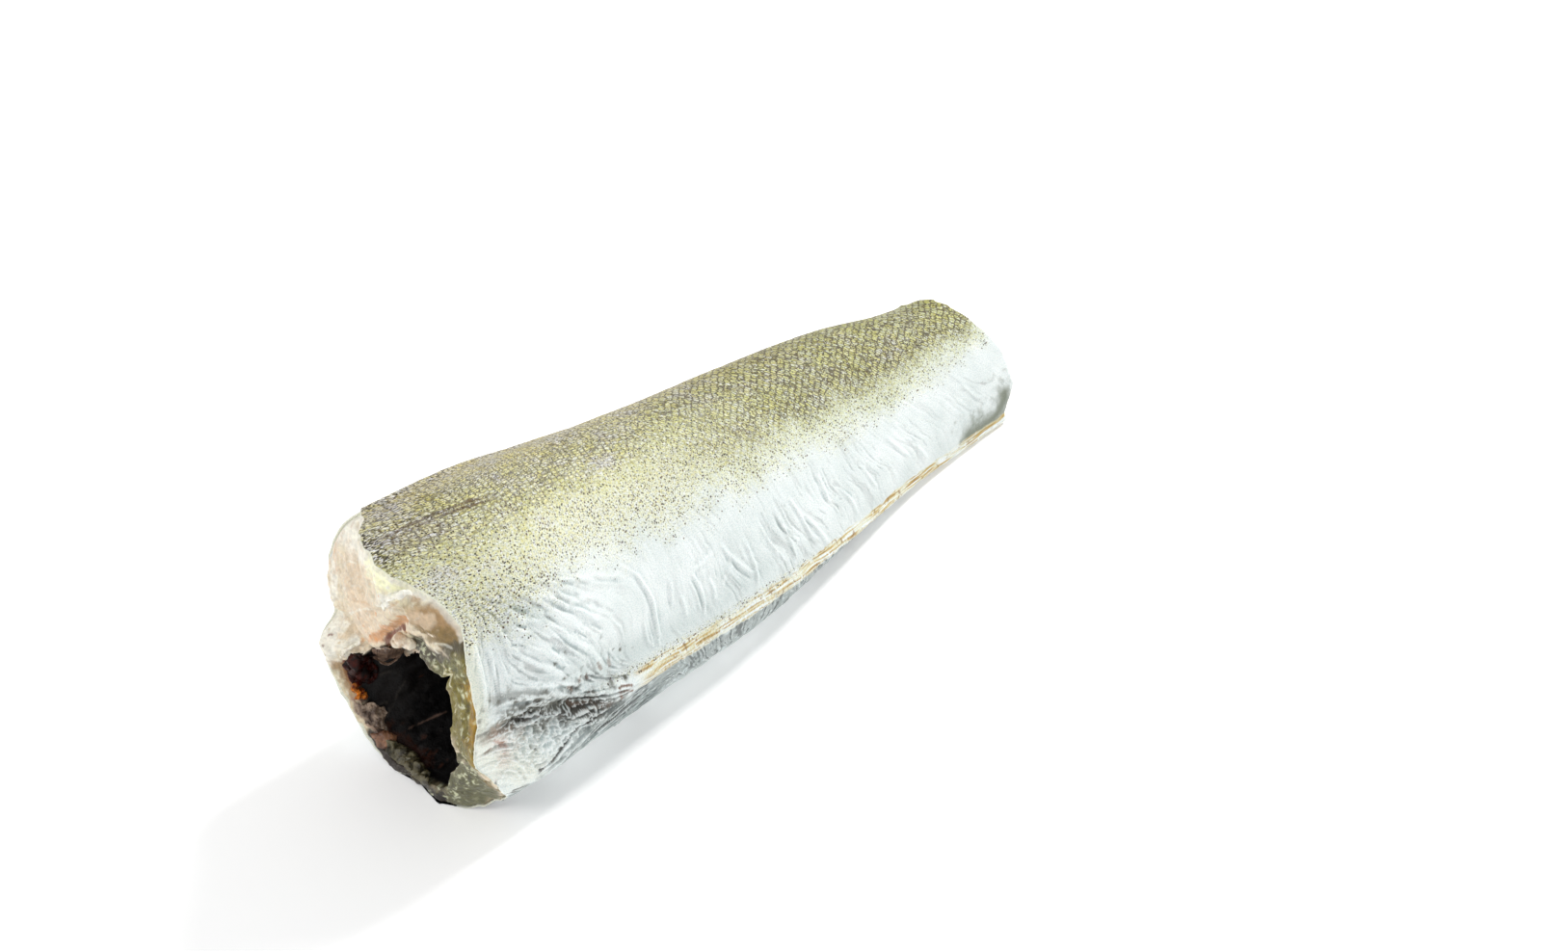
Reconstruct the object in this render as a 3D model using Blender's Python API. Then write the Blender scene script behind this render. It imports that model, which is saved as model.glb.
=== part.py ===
"""A headed, gutted and tailed hake as it lies on the table.

The trunk is one solid in metres, +Z up: the head cut with the open belly looks along -X,
the tail cut along +X, and the left flank faces -Y. The fish lies on its belly and lower
right side. A section is drawn in its own two directions, up to the back and out to the
left flank, and then leans over by its own angle. An angle round the body starts at 0 on
the back and grows towards the left flank, so 90 is mid flank and 180 the belly.
"""

import math

import bmesh
import bpy
import numpy as np

MM = 0.001

# Sections along the trunk, one every SECTION_STEP from SECTION_START:
# depth from back to belly, width as a share of the depth, lean of the back away from
# upright in degrees, and how far the section sits to the side.
SECTION_START = -130 * MM
SECTION_STEP = 40 * MM
SECTIONS = np.array([
    (82.8 * MM, 0.765, 27.0, 4.2 * MM),
    (83.2 * MM, 0.775, 22.5, 0.0 * MM),
    (77.8 * MM, 0.685, 37.5, 1.0 * MM),
    (73.2 * MM, 0.652, 49.5, 1.3 * MM),
    (66.0 * MM, 0.620, 51.5, 3.6 * MM),
    (57.1 * MM, 0.588, 48.0, 4.5 * MM),
    (47.7 * MM, 0.567, 46.0, 1.2 * MM),
])
SECTION_POWER = 2.2         # 2 is an ellipse, more is squarer
BACK_FULLNESS = 0.08        # how much wider the back half is than the belly half
PRESSED_DEPTH = 3.5 * MM    # how far the soft fish sinks into its flat underside
PRESSED_BLEND = 1.2 * MM    # half height of the round edge of that flat

# Where the skin ends at the head cut and at the tail cut: angle round the body in
# degrees, place along the trunk in millimetres.
HEAD_EDGE = (
    (-180, -113.6), (-170, -117.0), (-150, -115.6), (-120, -116.6), (-90, -116.4),
    (-80, -115.0), (-70, -108.4), (-40, -106.4), (-20, -104.4), (-10, -103.6),
    (0, -108.0), (10, -113.6), (20, -116.2), (34, -118.6), (42, -118.0),
    (50, -115.6), (60, -112.4), (70, -111.2), (80, -113.2), (100, -116.6),
    (112, -119.4), (120, -119.2), (130, -115.2), (150, -109.8), (165, -108.2),
    (180, -113.6),
)
TAIL_EDGE = (
    (-180, 118.8), (-130, 120.6), (-90, 119.0), (-60, 114.4), (-40, 112.2), (0, 112.6),
    (40, 116.8), (60, 118.4), (72, 119.8), (84, 122.2), (96, 123.6), (130, 123.8),
    (144, 119.4), (158, 118.6), (180, 118.8),
)

# The gutted belly from its mouth inward: place from the mouth along the trunk, its
# middle up and left of the middle of the section, half its height and half its width.
CAVITY = np.array([
    (0.0 * MM, -12.5 * MM, -5.0 * MM, 19.5 * MM, 20.5 * MM),
    (16.0 * MM, -13.5 * MM, -4.0 * MM, 18.0 * MM, 19.5 * MM),
    (34.0 * MM, -14.0 * MM, -2.0 * MM, 15.5 * MM, 16.5 * MM),
    (52.0 * MM, -15.5 * MM, -1.0 * MM, 11.5 * MM, 12.0 * MM),
    (65.0 * MM, -16.5 * MM, 0.0 * MM, 6.5 * MM, 7.0 * MM),
    (70.0 * MM, -17.0 * MM, 0.0 * MM, 0.0 * MM, 0.0 * MM),
])
CAVITY_MOUTH = -113.0 * MM
CAVITY_LUMPS = 0.9 * MM     # height of the lumps left on its wall
LUMPS_FADE = 10.0 * MM      # below this half height the lumps die away
CLOT_HEIGHT = 2.4 * MM      # the clot under the backbone, on the right
CLOT_ANGLE = -62
CLOT_SPREAD = 26            # degrees
CLOT_INWARD = 5.0 * MM
CLOT_LENGTH = 9.0 * MM
HEAD_FACE_RELIEF = 1.1 * MM     # unevenness of the cut flesh
TAIL_FACE_RELIEF = 0.6 * MM

# Relief of the skin
VENT_PLACE = -73.0 * MM     # the anal fin's base runs from the vent to the tail cut
VENT_ANGLE = 130
FIN_TAIL_PLACE = 118.0 * MM
FIN_TAIL_ANGLE = 168
FIN_BASE_HEIGHT = 1.5 * MM
FIN_BASE_WIDTH = 2.6 * MM
FIN_BASE_START = 3.0 * MM   # length over which it rises behind the vent
BACK_FIN_ANGLE = -8
BACK_FIN_HEIGHT = 1.2 * MM

# Place, angle, length, spread in degrees and rise of the hollows and swellings
SWELLINGS = (
    (-89.0 * MM, 118, 24.0 * MM, 13, -4.2 * MM),
    (-98.0 * MM, 141, 14.0 * MM, 13, 1.6 * MM),
)
FOLD_HEIGHT = 0.7 * MM      # soft folds fan out from the vent over the lower flank
FOLD_SPACING = 13.0 * MM
FOLD_FAN = 40               # degrees round the body for one more fold
FOLDS_PLACE = -48.0 * MM
FOLDS_ANGLE = 112
FOLDS_LENGTH = 75.0 * MM
FOLDS_SPREAD = 28

AROUND = 64                 # points round a section
SKIN_RINGS = 44
TAIL_FACE_RINGS = 4
HEAD_FACE_RINGS = 5
CAVITY_RINGS = 12
MERGE = 0.02 * MM

SKIN_COLOUR = (0.72, 0.73, 0.70, 1.0)
FLESH_COLOUR = (0.78, 0.62, 0.48, 1.0)
LINING_COLOUR = (0.03, 0.02, 0.02, 1.0)


def spline(rows, place):
    """A smooth curve through evenly spaced rows, read at place (in rows)."""
    place = np.clip(np.asarray(place, float), 0, len(rows) - 1.000001)
    first = place.astype(int)
    part = (place - first)[..., None]

    def row(shift):
        return rows[np.clip(first + shift, 0, len(rows) - 1)]

    before, start, end, after = row(-1), row(0), row(1), row(2)
    slope = end - before
    bend = 2 * before - 5 * start + 4 * end - after
    turn = 3 * (start - end) + after - before
    return start + 0.5 * part * (slope + part * (bend + part * turn))


def section(x):
    """Half depth, half width, lean in radians and sideways shift at x."""
    rows = spline(SECTIONS, (np.asarray(x) - SECTION_START) / SECTION_STEP)
    half_depth = rows[..., 0] / 2
    return half_depth, half_depth * rows[..., 1], np.radians(rows[..., 2]), rows[..., 3]


def power(value, exponent):
    """A signed power, which keeps the quadrant of a cosine or a sine."""
    return np.sign(value) * np.abs(value) ** exponent


def bump(value, width):
    """A smooth hill, 1 in the middle and 0 beyond about two widths."""
    return np.exp(-(value / width) ** 2)


def turned(angle, middle):
    """The turn in degrees from middle to angle, the short way round."""
    return (np.degrees(angle) - middle + 180) % 360 - 180


def edge(table, angle):
    """Where the skin ends at a cut, at an angle round the body."""
    degrees = [point[0] for point in table]
    places = [point[1] * MM for point in table]
    return np.interp(np.degrees(angle), degrees, places)


def belly_line(x):
    """Angle of the vent and the anal fin's base, which lie turned to the left."""
    along = np.clip((x - VENT_PLACE) / (FIN_TAIL_PLACE - VENT_PLACE), 0, 1)
    return VENT_ANGLE + (FIN_TAIL_ANGLE - VENT_ANGLE) * np.sin(along * math.pi / 2)


def relief(x, angle):
    """How far the skin stands out of, or sinks into, the smooth section."""
    degree = np.radians(1) * section(x)[0]
    behind_vent = 1 / (1 + np.exp(-(x - VENT_PLACE) / FIN_BASE_START))
    from_belly_line = turned(angle, belly_line(x)) * degree
    from_back = turned(angle, BACK_FIN_ANGLE) * degree
    height = FIN_BASE_HEIGHT * behind_vent * bump(from_belly_line, FIN_BASE_WIDTH)
    height = height + BACK_FIN_HEIGHT * bump(from_back, FIN_BASE_WIDTH)
    for place, middle, length, spread, rise in SWELLINGS:
        height = height + rise * bump(x - place, length) * bump(turned(angle, middle), spread)
    fan = (x - VENT_PLACE) / FOLD_SPACING + turned(angle, VENT_ANGLE) / FOLD_FAN
    around = bump(turned(angle, FOLDS_ANGLE), FOLDS_SPREAD)
    folds = around * bump(x - FOLDS_PLACE, FOLDS_LENGTH) * np.sin(2 * math.pi * fan)
    return height + FOLD_HEIGHT * folds


def place_in_section(x, up, left):
    """Turn section directions into world coordinates, before the underside is pressed."""
    half_depth, half_width, lean, side = section(x)
    lowest = np.hypot(half_depth * np.cos(lean), half_width * np.sin(lean))
    y = side + up * np.sin(lean) - left * np.cos(lean)
    z = lowest - PRESSED_DEPTH + up * np.cos(lean) + left * np.sin(lean)
    return np.stack([np.broadcast_to(x, y.shape), y, z], axis=-1)


def press(points):
    """Flatten the underside on the table, with a round edge to the flat."""
    z = points[..., 2]
    blend = (z + PRESSED_BLEND) ** 2 / (4 * PRESSED_BLEND)
    flat = np.where(z >= PRESSED_BLEND, z, np.where(z <= -PRESSED_BLEND, 0, blend))
    return np.concatenate([points[..., :2], flat[..., None]], axis=-1)


def skin(x, angle):
    """A point of the skin."""
    half_depth, half_width, _, _ = section(x)
    cosine, sine = np.cos(angle), np.sin(angle)
    up = half_depth * power(cosine, 2 / SECTION_POWER)
    left = half_width * power(sine, 2 / SECTION_POWER) * (1 + BACK_FULLNESS * cosine)
    out_up = power(cosine, 2 - 2 / SECTION_POWER) / half_depth
    out_left = power(sine, 2 - 2 / SECTION_POWER) / half_width
    out = relief(x, angle) / np.hypot(out_up, out_left)
    return press(place_in_section(x, up + out_up * out, left + out_left * out))


def cavity(inward, angle):
    """A point of the belly's wall, inward from its mouth."""
    share = np.interp(inward, CAVITY[:, 0], np.arange(len(CAVITY)))
    _, middle_up, middle_left, half_height, half_width = spline(CAVITY, share).T
    clot = bump(turned(angle, CLOT_ANGLE), CLOT_SPREAD) * bump(inward - CLOT_INWARD, CLOT_LENGTH)
    lumps = np.sin(3 * angle + inward / (6 * MM)) * np.sin(5 * angle + 1)
    shrink = CLOT_HEIGHT * clot + CAVITY_LUMPS * lumps
    shrink = shrink * np.clip(half_height / LUMPS_FADE, 0, 1)
    up = middle_up + np.maximum(half_height - shrink, 0) * np.cos(angle)
    left = middle_left + np.maximum(half_width - shrink, 0) * np.sin(angle)
    return place_in_section(CAVITY_MOUTH + inward, up, left)


def face_relief(share, angle, height):
    """Unevenness of a cut face: nothing at its edges, most between them."""
    waves = np.sin(4 * angle + 5 * share) * np.sin(7 * angle - 9 * share + 2)
    return height * waves * np.sin(math.pi * share)


def rings():
    """Every ring of the solid with the name of its surface.

    They run from the middle of the tail face outward, along the skin to the head cut,
    inward over the cut flesh, and down the belly to its end.
    """
    angle = np.linspace(-math.pi, math.pi, AROUND, endpoint=False)
    head = edge(HEAD_EDGE, angle)
    tail = edge(TAIL_EDGE, angle)
    found = []
    surface = []

    tail_rim = skin(tail, angle)
    middle = tail_rim.mean(axis=0)
    for share in np.linspace(0, 1, TAIL_FACE_RINGS, endpoint=False):
        points = middle + (tail_rim - middle) * share
        points[:, 0] += face_relief(share, angle, TAIL_FACE_RELIEF)
        found.append(points)
        surface.append("flesh")

    for share in np.linspace(0, 1, SKIN_RINGS):
        found.append(skin(tail + (head - tail) * share, angle))
        surface.append("skin")

    head_rim = found[-1]
    mouth = cavity(np.zeros(AROUND), angle)
    for share in np.linspace(0, 1, HEAD_FACE_RINGS + 2)[1:-1]:
        points = head_rim + (mouth - head_rim) * share
        points[:, 0] += face_relief(share, angle, HEAD_FACE_RELIEF)
        found.append(points)
        surface.append("flesh")

    for share in np.linspace(0, 1, CAVITY_RINGS):
        inward = CAVITY[-1, 0] * math.sin(share * math.pi / 2)
        found.append(cavity(np.full(AROUND, inward), angle))
        surface.append("lining")
    return np.array(found), surface


def centred(points):
    """Move the points so that the middle of their underside is the origin."""
    low = points.reshape(-1, 3).min(axis=0)
    high = points.reshape(-1, 3).max(axis=0)
    middle = (low + high) / 2
    return points - np.array([middle[0], middle[1], low[2]])


def material(name, colour, roughness):
    """A plain material for one surface of the fish."""
    made = bpy.data.materials.new(name)
    made.use_nodes = True
    shader = made.node_tree.nodes["Principled BSDF"]
    shader.inputs["Base Color"].default_value = colour
    shader.inputs["Roughness"].default_value = roughness
    shader.inputs["Metallic"].default_value = 0.0
    return made


def hake(collection):
    """The trunk: a grid wrapped round the rings, from the tail face to the belly's end."""
    points, surface = rings()
    points = centred(points)
    mesh = bpy.data.meshes.new("hake")
    made = bpy.data.objects.new("hake", mesh)
    collection.objects.link(made)
    mesh.materials.append(material("hake_skin", SKIN_COLOUR, 0.35))
    mesh.materials.append(material("hake_flesh", FLESH_COLOUR, 0.45))
    mesh.materials.append(material("hake_lining", LINING_COLOUR, 0.30))
    slots = ("skin", "flesh", "lining")

    bm = bmesh.new()
    gaps = len(points) - 1
    bmesh.ops.create_grid(bm, x_segments=gaps, y_segments=AROUND, size=1)
    for face in bm.faces:
        # A face takes the surface of its ring further along, but for the cut flesh,
        # which starts at the skin's last ring and ends at the belly's first.
        first = int((face.calc_center_median().x + 1) / 2 * gaps)
        pair = (surface[first], surface[first + 1])
        face.material_index = slots.index("flesh" if "flesh" in pair else pair[1])
    for vert in bm.verts:
        ring = round((vert.co.x + 1) / 2 * gaps)
        around = round((vert.co.y + 1) / 2 * AROUND) % AROUND
        vert.co = points[ring, around]
    bmesh.ops.remove_doubles(bm, verts=bm.verts, dist=MERGE)
    bmesh.ops.triangulate(bm, faces=bm.faces)
    bmesh.ops.recalc_face_normals(bm, faces=bm.faces)
    bm.to_mesh(mesh)
    bm.free()
    mesh.shade_smooth()
    mesh.set_sharp_from_angle(angle=math.radians(40))
    return made


def main():
    for old in list(bpy.data.objects):
        bpy.data.objects.remove(old, do_unlink=True)
    collection = bpy.data.collections.new("hake_carcass")
    bpy.context.scene.collection.children.link(collection)
    hake(collection)


main()
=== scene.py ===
# %% [markdown]
# # A headed and gutted hake
#
# The fish lies on its belly and lower right side. Its head and its tail are cut away, and
# the gutted belly opens at the head cut. The solid model gives the trunk as one closed
# shape. Here it gets its skin, its cut flesh, the dark lining of its belly and the small
# torn and raised things on them.
#
# The first cell loads the model and keeps its parts, so that the model can be hidden at
# the end.

# %% The frame
import itertools
import math

import bmesh
import bpy
import numpy as np
from mathutils import Matrix, Vector


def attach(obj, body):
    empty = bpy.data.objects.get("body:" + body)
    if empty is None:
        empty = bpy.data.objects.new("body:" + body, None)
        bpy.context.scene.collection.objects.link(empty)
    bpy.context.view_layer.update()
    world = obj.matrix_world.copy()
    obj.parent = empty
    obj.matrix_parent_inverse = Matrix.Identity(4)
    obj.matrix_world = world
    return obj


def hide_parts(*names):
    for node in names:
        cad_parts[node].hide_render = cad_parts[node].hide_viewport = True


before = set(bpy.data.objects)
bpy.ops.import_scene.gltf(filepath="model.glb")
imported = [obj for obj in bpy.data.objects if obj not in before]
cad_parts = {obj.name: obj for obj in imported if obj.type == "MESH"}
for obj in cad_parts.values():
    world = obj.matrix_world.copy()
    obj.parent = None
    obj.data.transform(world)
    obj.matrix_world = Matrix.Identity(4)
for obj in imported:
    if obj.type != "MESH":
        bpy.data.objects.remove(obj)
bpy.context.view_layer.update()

MM = 0.001

# %% [markdown]
# ## Helpers for objects and materials
#
# A node's sockets are filled from a dictionary: a value is set and another node's output
# is linked. With that, a shader reads as one expression inside another.

# %% Helpers for objects and materials
def new_object(name, data):
    """An object in the scene that shows some data."""
    made = bpy.data.objects.new(name, data)
    bpy.context.scene.collection.objects.link(made)
    return made


def fill(tree, filled, inputs):
    """Set the sockets of a node, or link them where a value is a socket."""
    for socket, value in inputs.items():
        if isinstance(value, bpy.types.NodeSocket):
            tree.links.new(value, filled.inputs[socket])
        else:
            filled.inputs[socket].default_value = value
    return filled


def node(tree, kind, inputs, **settings):
    """A new node with its settings made and its sockets filled."""
    made = tree.nodes.new(kind)
    for name, value in settings.items():
        setattr(made, name, value)
    return fill(tree, made, inputs)


def new_material(name):
    """A material with its node tree and its Principled shader."""
    made = bpy.data.materials.new(name)
    made.use_nodes = True
    return made, made.node_tree, made.node_tree.nodes["Principled BSDF"]


def srgb(red, green, blue):
    """A colour as the eye reads it on a screen, 0 to 255, made linear."""
    value = np.array([red, green, blue]) / 255
    return np.where(value > 0.04045, ((value + 0.055) / 1.055) ** 2.4, value / 12.92)


def rgba(colour):
    """A colour as a socket takes it."""
    return (*[float(v) for v in colour], 1.0)



# %% [markdown]
# ## The camera
#
# The photograph looks down on the fish from in front of its head cut. `CAMERA_BACK`
# points from the fish to the lens. The camera's other two directions follow from it and
# from the level horizon.

# %% The camera
IMAGE_WIDTH, IMAGE_HEIGHT = 1627, 987
FOCAL_PIXELS = 2200.0
SENSOR_WIDTH = 36.0                 # in mm, as a camera's lens is
NEAREST, FARTHEST = 0.02, 20.0      # what the camera can see, in metres
CAMERA_PLACE = np.array([-0.35436, -0.33504, 0.40101])
CAMERA_AZIMUTH = math.radians(49)
CAMERA_ELEVATION = math.radians(37)

CAMERA_BACK = np.array([
    -math.sin(CAMERA_AZIMUTH) * math.cos(CAMERA_ELEVATION),
    -math.cos(CAMERA_AZIMUTH) * math.cos(CAMERA_ELEVATION),
    math.sin(CAMERA_ELEVATION),
])
CAMERA_RIGHT = np.cross([0, 0, 1], CAMERA_BACK)
CAMERA_RIGHT = CAMERA_RIGHT / np.linalg.norm(CAMERA_RIGHT)
CAMERA_UP = np.cross(CAMERA_BACK, CAMERA_RIGHT)

camera_data = bpy.data.cameras.new("camera")
camera_data.sensor_fit = "HORIZONTAL"
camera_data.sensor_width = SENSOR_WIDTH
camera_data.lens = SENSOR_WIDTH * FOCAL_PIXELS / IMAGE_WIDTH
camera_data.clip_start, camera_data.clip_end = NEAREST, FARTHEST
camera = new_object("camera", camera_data)
turn = Matrix(np.column_stack([CAMERA_RIGHT, CAMERA_UP, CAMERA_BACK]).tolist())
camera.matrix_world = Matrix.Translation(CAMERA_PLACE) @ turn.to_4x4()
bpy.context.scene.camera = camera
print("lens in mm:", round(camera_data.lens, 2))


def in_photograph(points):
    """Where points fall in the photograph, in pixels, and how far off they are."""
    offset = points - CAMERA_PLACE
    depth = -(offset @ CAMERA_BACK)
    across = IMAGE_WIDTH / 2 + FOCAL_PIXELS * (offset @ CAMERA_RIGHT) / depth
    down = IMAGE_HEIGHT / 2 - FOCAL_PIXELS * (offset @ CAMERA_UP) / depth
    return np.stack([across, down], axis=-1), depth


# %% [markdown]
# ## Floor and light
#
# The fish is shown on plain white in a bright, soft light. A pale floor takes its
# contact shadow. The main lamp is small and stands behind the tail, so it rakes across
# the wrinkles: each fold is bright towards the tail and dark towards the head. Wider
# ones light the head cut and the flank softly, and the sky fills in the rest.

# %% Floor and light
FLOOR_SIZE = 6.0
FLOOR_DROP = 0.2 * MM               # keeps the floor clear of the pressed underside
FLOOR_COLOUR = (0.97, 0.97, 0.97, 1.0)
FLOOR_ROUGHNESS = 0.6
FLOOR_GLOW = 0.18
SKY_COLOUR = (0.96, 0.98, 1.0, 1.0)
SKY_STRENGTH = 0.54
LOOK_AT = Vector((0.0, 0.0, 0.03))

floor_mesh = bpy.data.meshes.new("floor")
bm = bmesh.new()
bmesh.ops.create_grid(bm, x_segments=1, y_segments=1, size=FLOOR_SIZE / 2)
bmesh.ops.translate(bm, verts=bm.verts, vec=(0, 0, -FLOOR_DROP))
bm.to_mesh(floor_mesh)
bm.free()
floor = new_object("floor", floor_mesh)
floor_material, tree, shader = new_material("pale_floor")
fill(tree, shader, {
    "Base Color": FLOOR_COLOUR, "Roughness": FLOOR_ROUGHNESS,
    "Emission Color": FLOOR_COLOUR, "Emission Strength": FLOOR_GLOW})
floor_mesh.materials.append(floor_material)

world = bpy.data.worlds.new("studio")
bpy.context.scene.world = world
world.use_nodes = True
fill(world.node_tree, world.node_tree.nodes["Background"],
     {"Color": SKY_COLOUR, "Strength": SKY_STRENGTH})
bpy.context.scene.view_settings.view_transform = "Standard"


def lamp(name, place, size, power, colour):
    """A square lamp that looks at the fish."""
    data = bpy.data.lights.new(name, "AREA")
    data.shape = "SQUARE"
    data.size = size
    data.energy = power
    data.color = colour
    made = new_object(name, data)
    made.location = place
    aim = LOOK_AT - Vector(place)
    made.rotation_euler = aim.to_track_quat("-Z", "Y").to_euler()


lamp("key_lamp", place=(1.06, 0.03, 1.12), size=0.32, power=19.0, colour=(1.0, 0.99, 0.97))
lamp("front_lamp", place=(-0.80, 0.45, 0.60), size=0.5, power=3.9, colour=(1.0, 0.98, 0.95))
lamp("side_lamp", place=(-0.45, -0.80, 0.38), size=0.6, power=1.9, colour=(0.99, 1.0, 1.0))

# %% [markdown]
# ## The form of the trunk
#
# The trunk is drawn as sections along its length. Each has a depth from back to belly, a
# width, a lean and a shift to the side, and the flesh that touches the table is pressed
# flat. These are the same named values as in the solid model, so that a finer surface
# can be wrapped over exactly the same form. An angle of 0 is the back, 90 the shown
# left flank and 180 the belly.

# %% The form of the trunk
SHIFT = np.array([-2.2044, -2.3841, 0.0]) * MM      # from the trunk's own frame to the model's
SECTION_START = -130 * MM
SECTION_STEP = 40 * MM
SECTIONS = np.array([        # depth, width as a share of it, lean in degrees and shift
    (82.8 * MM, 0.765, 27.0, 4.2 * MM),
    (83.2 * MM, 0.775, 22.5, 0.0 * MM),
    (77.8 * MM, 0.685, 37.5, 1.0 * MM),
    (73.2 * MM, 0.652, 49.5, 1.3 * MM),
    (66.0 * MM, 0.620, 51.5, 3.6 * MM),
    (57.1 * MM, 0.588, 48.0, 4.5 * MM),
    (47.7 * MM, 0.567, 46.0, 1.2 * MM),
])
SECTION_POWER = 2.2
BACK_FULLNESS = 0.08
PRESSED_DEPTH = 3.5 * MM
PRESSED_BLEND = 1.2 * MM

# where the skin ends at each cut: an angle in degrees and a place in mm
HEAD_EDGE = (
    (-180, -113.6), (-170, -117.0), (-150, -115.6), (-120, -116.6), (-90, -116.4),
    (-80, -115.0), (-70, -108.4), (-40, -106.4), (-20, -104.4), (-10, -103.6),
    (0, -108.0), (10, -113.6), (20, -116.2), (34, -118.6), (42, -118.0),
    (50, -115.6), (60, -112.4), (70, -111.2), (80, -113.2), (100, -116.6),
    (112, -119.4), (120, -119.2), (130, -115.2), (150, -109.8), (165, -108.2),
    (180, -113.6),
)
TAIL_EDGE = (
    (-180, 118.8), (-130, 120.6), (-90, 119.0), (-60, 114.4), (-40, 112.2), (0, 112.6),
    (40, 116.8), (60, 118.4), (72, 119.8), (84, 122.2), (96, 123.6), (130, 123.8),
    (144, 119.4), (158, 118.6), (180, 118.8),
)

VENT_PLACE = -73.0 * MM
VENT_ANGLE = 130
FIN_TAIL_PLACE = 118.0 * MM
FIN_TAIL_ANGLE = 168
BACK_FIN_ANGLE = -8


def spline(rows, place):
    """A smooth curve through evenly spaced rows, read at place (in rows)."""
    place = np.clip(np.asarray(place, float), 0, len(rows) - 1.000001)
    first = place.astype(int)
    part = (place - first)[..., None]

    def row(shift):
        return rows[np.clip(first + shift, 0, len(rows) - 1)]

    before, start, end, after = row(-1), row(0), row(1), row(2)
    slope = end - before
    bend = 2 * before - 5 * start + 4 * end - after
    turn_back = 3 * (start - end) + after - before
    return start + 0.5 * part * (slope + part * (bend + part * turn_back))


def section(x):
    """Half depth, half width, lean in radians and sideways shift at x."""
    rows = spline(SECTIONS, (np.asarray(x) - SECTION_START) / SECTION_STEP)
    half_depth = rows[..., 0] / 2
    return half_depth, half_depth * rows[..., 1], np.radians(rows[..., 2]), rows[..., 3]


def power(value, exponent):
    """A signed power, which keeps the quadrant of a cosine or a sine."""
    return np.sign(value) * np.abs(value) ** exponent


def bump(value, width):
    """A smooth hill, 1 in the middle and 0 beyond about two widths."""
    return np.exp(-(value / width) ** 2)


def soft_step(value, low, high):
    """0 below low, 1 above high and smooth between them."""
    part = np.clip((value - low) / (high - low), 0, 1)
    return part * part * (3 - 2 * part)


def turned(degrees, middle):
    """The turn in degrees from middle to an angle, the short way round."""
    return (degrees - middle + 180) % 360 - 180


def edge(table, degrees):
    """Where the skin ends at a cut, at an angle round the body."""
    places = [point[1] * MM for point in table]
    return np.interp(turned(degrees, 0), [point[0] for point in table], places)


def belly_line(x):
    """Angle of the vent and the anal fin's base, which lie turned to the left."""
    along = np.clip((x - VENT_PLACE) / (FIN_TAIL_PLACE - VENT_PLACE), 0, 1)
    return VENT_ANGLE + (FIN_TAIL_ANGLE - VENT_ANGLE) * np.sin(along * math.pi / 2)


def section_lowest(x):
    """How far the smooth section at x reaches below its middle."""
    half_depth, half_width, lean, _ = section(x)
    return np.hypot(half_depth * np.cos(lean), half_width * np.sin(lean))


def place_in_section(x, up, left):
    """Turn section directions into model coordinates."""
    _, _, lean, side = section(x)
    lowest = section_lowest(x)
    y = side + up * np.sin(lean) - left * np.cos(lean)
    z = lowest - PRESSED_DEPTH + up * np.cos(lean) + left * np.sin(lean)
    return np.stack([np.broadcast_to(x, y.shape), y, z], axis=-1) + SHIFT


def press(points):
    """Flatten the underside on the table, with a round edge to the flat."""
    z = points[..., 2]
    blend = (z + PRESSED_BLEND) ** 2 / (4 * PRESSED_BLEND)
    flat = np.where(z >= PRESSED_BLEND, z, np.where(z <= -PRESSED_BLEND, 0, blend))
    return np.concatenate([points[..., :2], flat[..., None]], axis=-1)


def skin(x, degrees, height=0.0):
    """A point of the skin that stands out of the smooth section by a height."""
    half_depth, half_width, _, _ = section(x)
    cosine, sine = np.cos(np.radians(degrees)), np.sin(np.radians(degrees))
    up = half_depth * power(cosine, 2 / SECTION_POWER)
    left = half_width * power(sine, 2 / SECTION_POWER) * (1 + BACK_FULLNESS * cosine)
    out_up = power(cosine, 2 - 2 / SECTION_POWER) / half_depth
    out_left = power(sine, 2 - 2 / SECTION_POWER) / half_width
    out = height / np.hypot(out_up, out_left)
    return press(place_in_section(x, up + out_up * out, left + out_left * out))


# %% [markdown]
# ## Helpers for uneven things
#
# Nothing on a fish is even. `lumps` gives smooth noise at points in space, made from a
# table of random numbers with a fixed seed, so each run gives the same fish. `rough` adds
# finer lumps to it. `wrap` bends a flat grid to rows of points and hands the new piece
# its colours, its UV map and, where they are given, its normals.

# %% Noise and wrapping
LATTICE = 24
SAME_POINT = 0.02 * MM


def lumps(points, size, seed):
    """Smooth noise from about -1 to 1, with lumps of about a size in metres."""
    table = np.random.default_rng(seed).uniform(-1, 1, (LATTICE,) * 3)
    place = points / size
    base = np.floor(place).astype(int)
    part = place - base
    part = part * part * (3 - 2 * part)
    total = 0.0
    for corner in itertools.product((0, 1), repeat=3):
        weight = np.prod(np.where(corner, part, 1 - part), axis=-1)
        cell = (base + corner) % LATTICE
        total = total + weight * table[cell[..., 0], cell[..., 1], cell[..., 2]]
    return total


def rough(points, size, seed, octaves=4):
    """Noise with ever finer lumps on it."""
    return sum(lumps(points, size / 2 ** k, seed + k) / 1.8 ** k for k in range(octaves))


def grid_normals(points):
    """The directions in which a grid of points faces."""
    facing = np.cross(np.gradient(points, axis=0), np.gradient(points, axis=1))
    return facing / (np.linalg.norm(facing, axis=2, keepdims=True) + 1e-15)


def colour_points(mesh, title, values):
    """Give each point of a mesh a colour."""
    layer = mesh.attributes.new(title, "FLOAT_COLOR", "POINT")
    colour = np.ones((len(values), 4))
    colour[:, :3] = values
    layer.data.foreach_set("color", colour.ravel())


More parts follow.
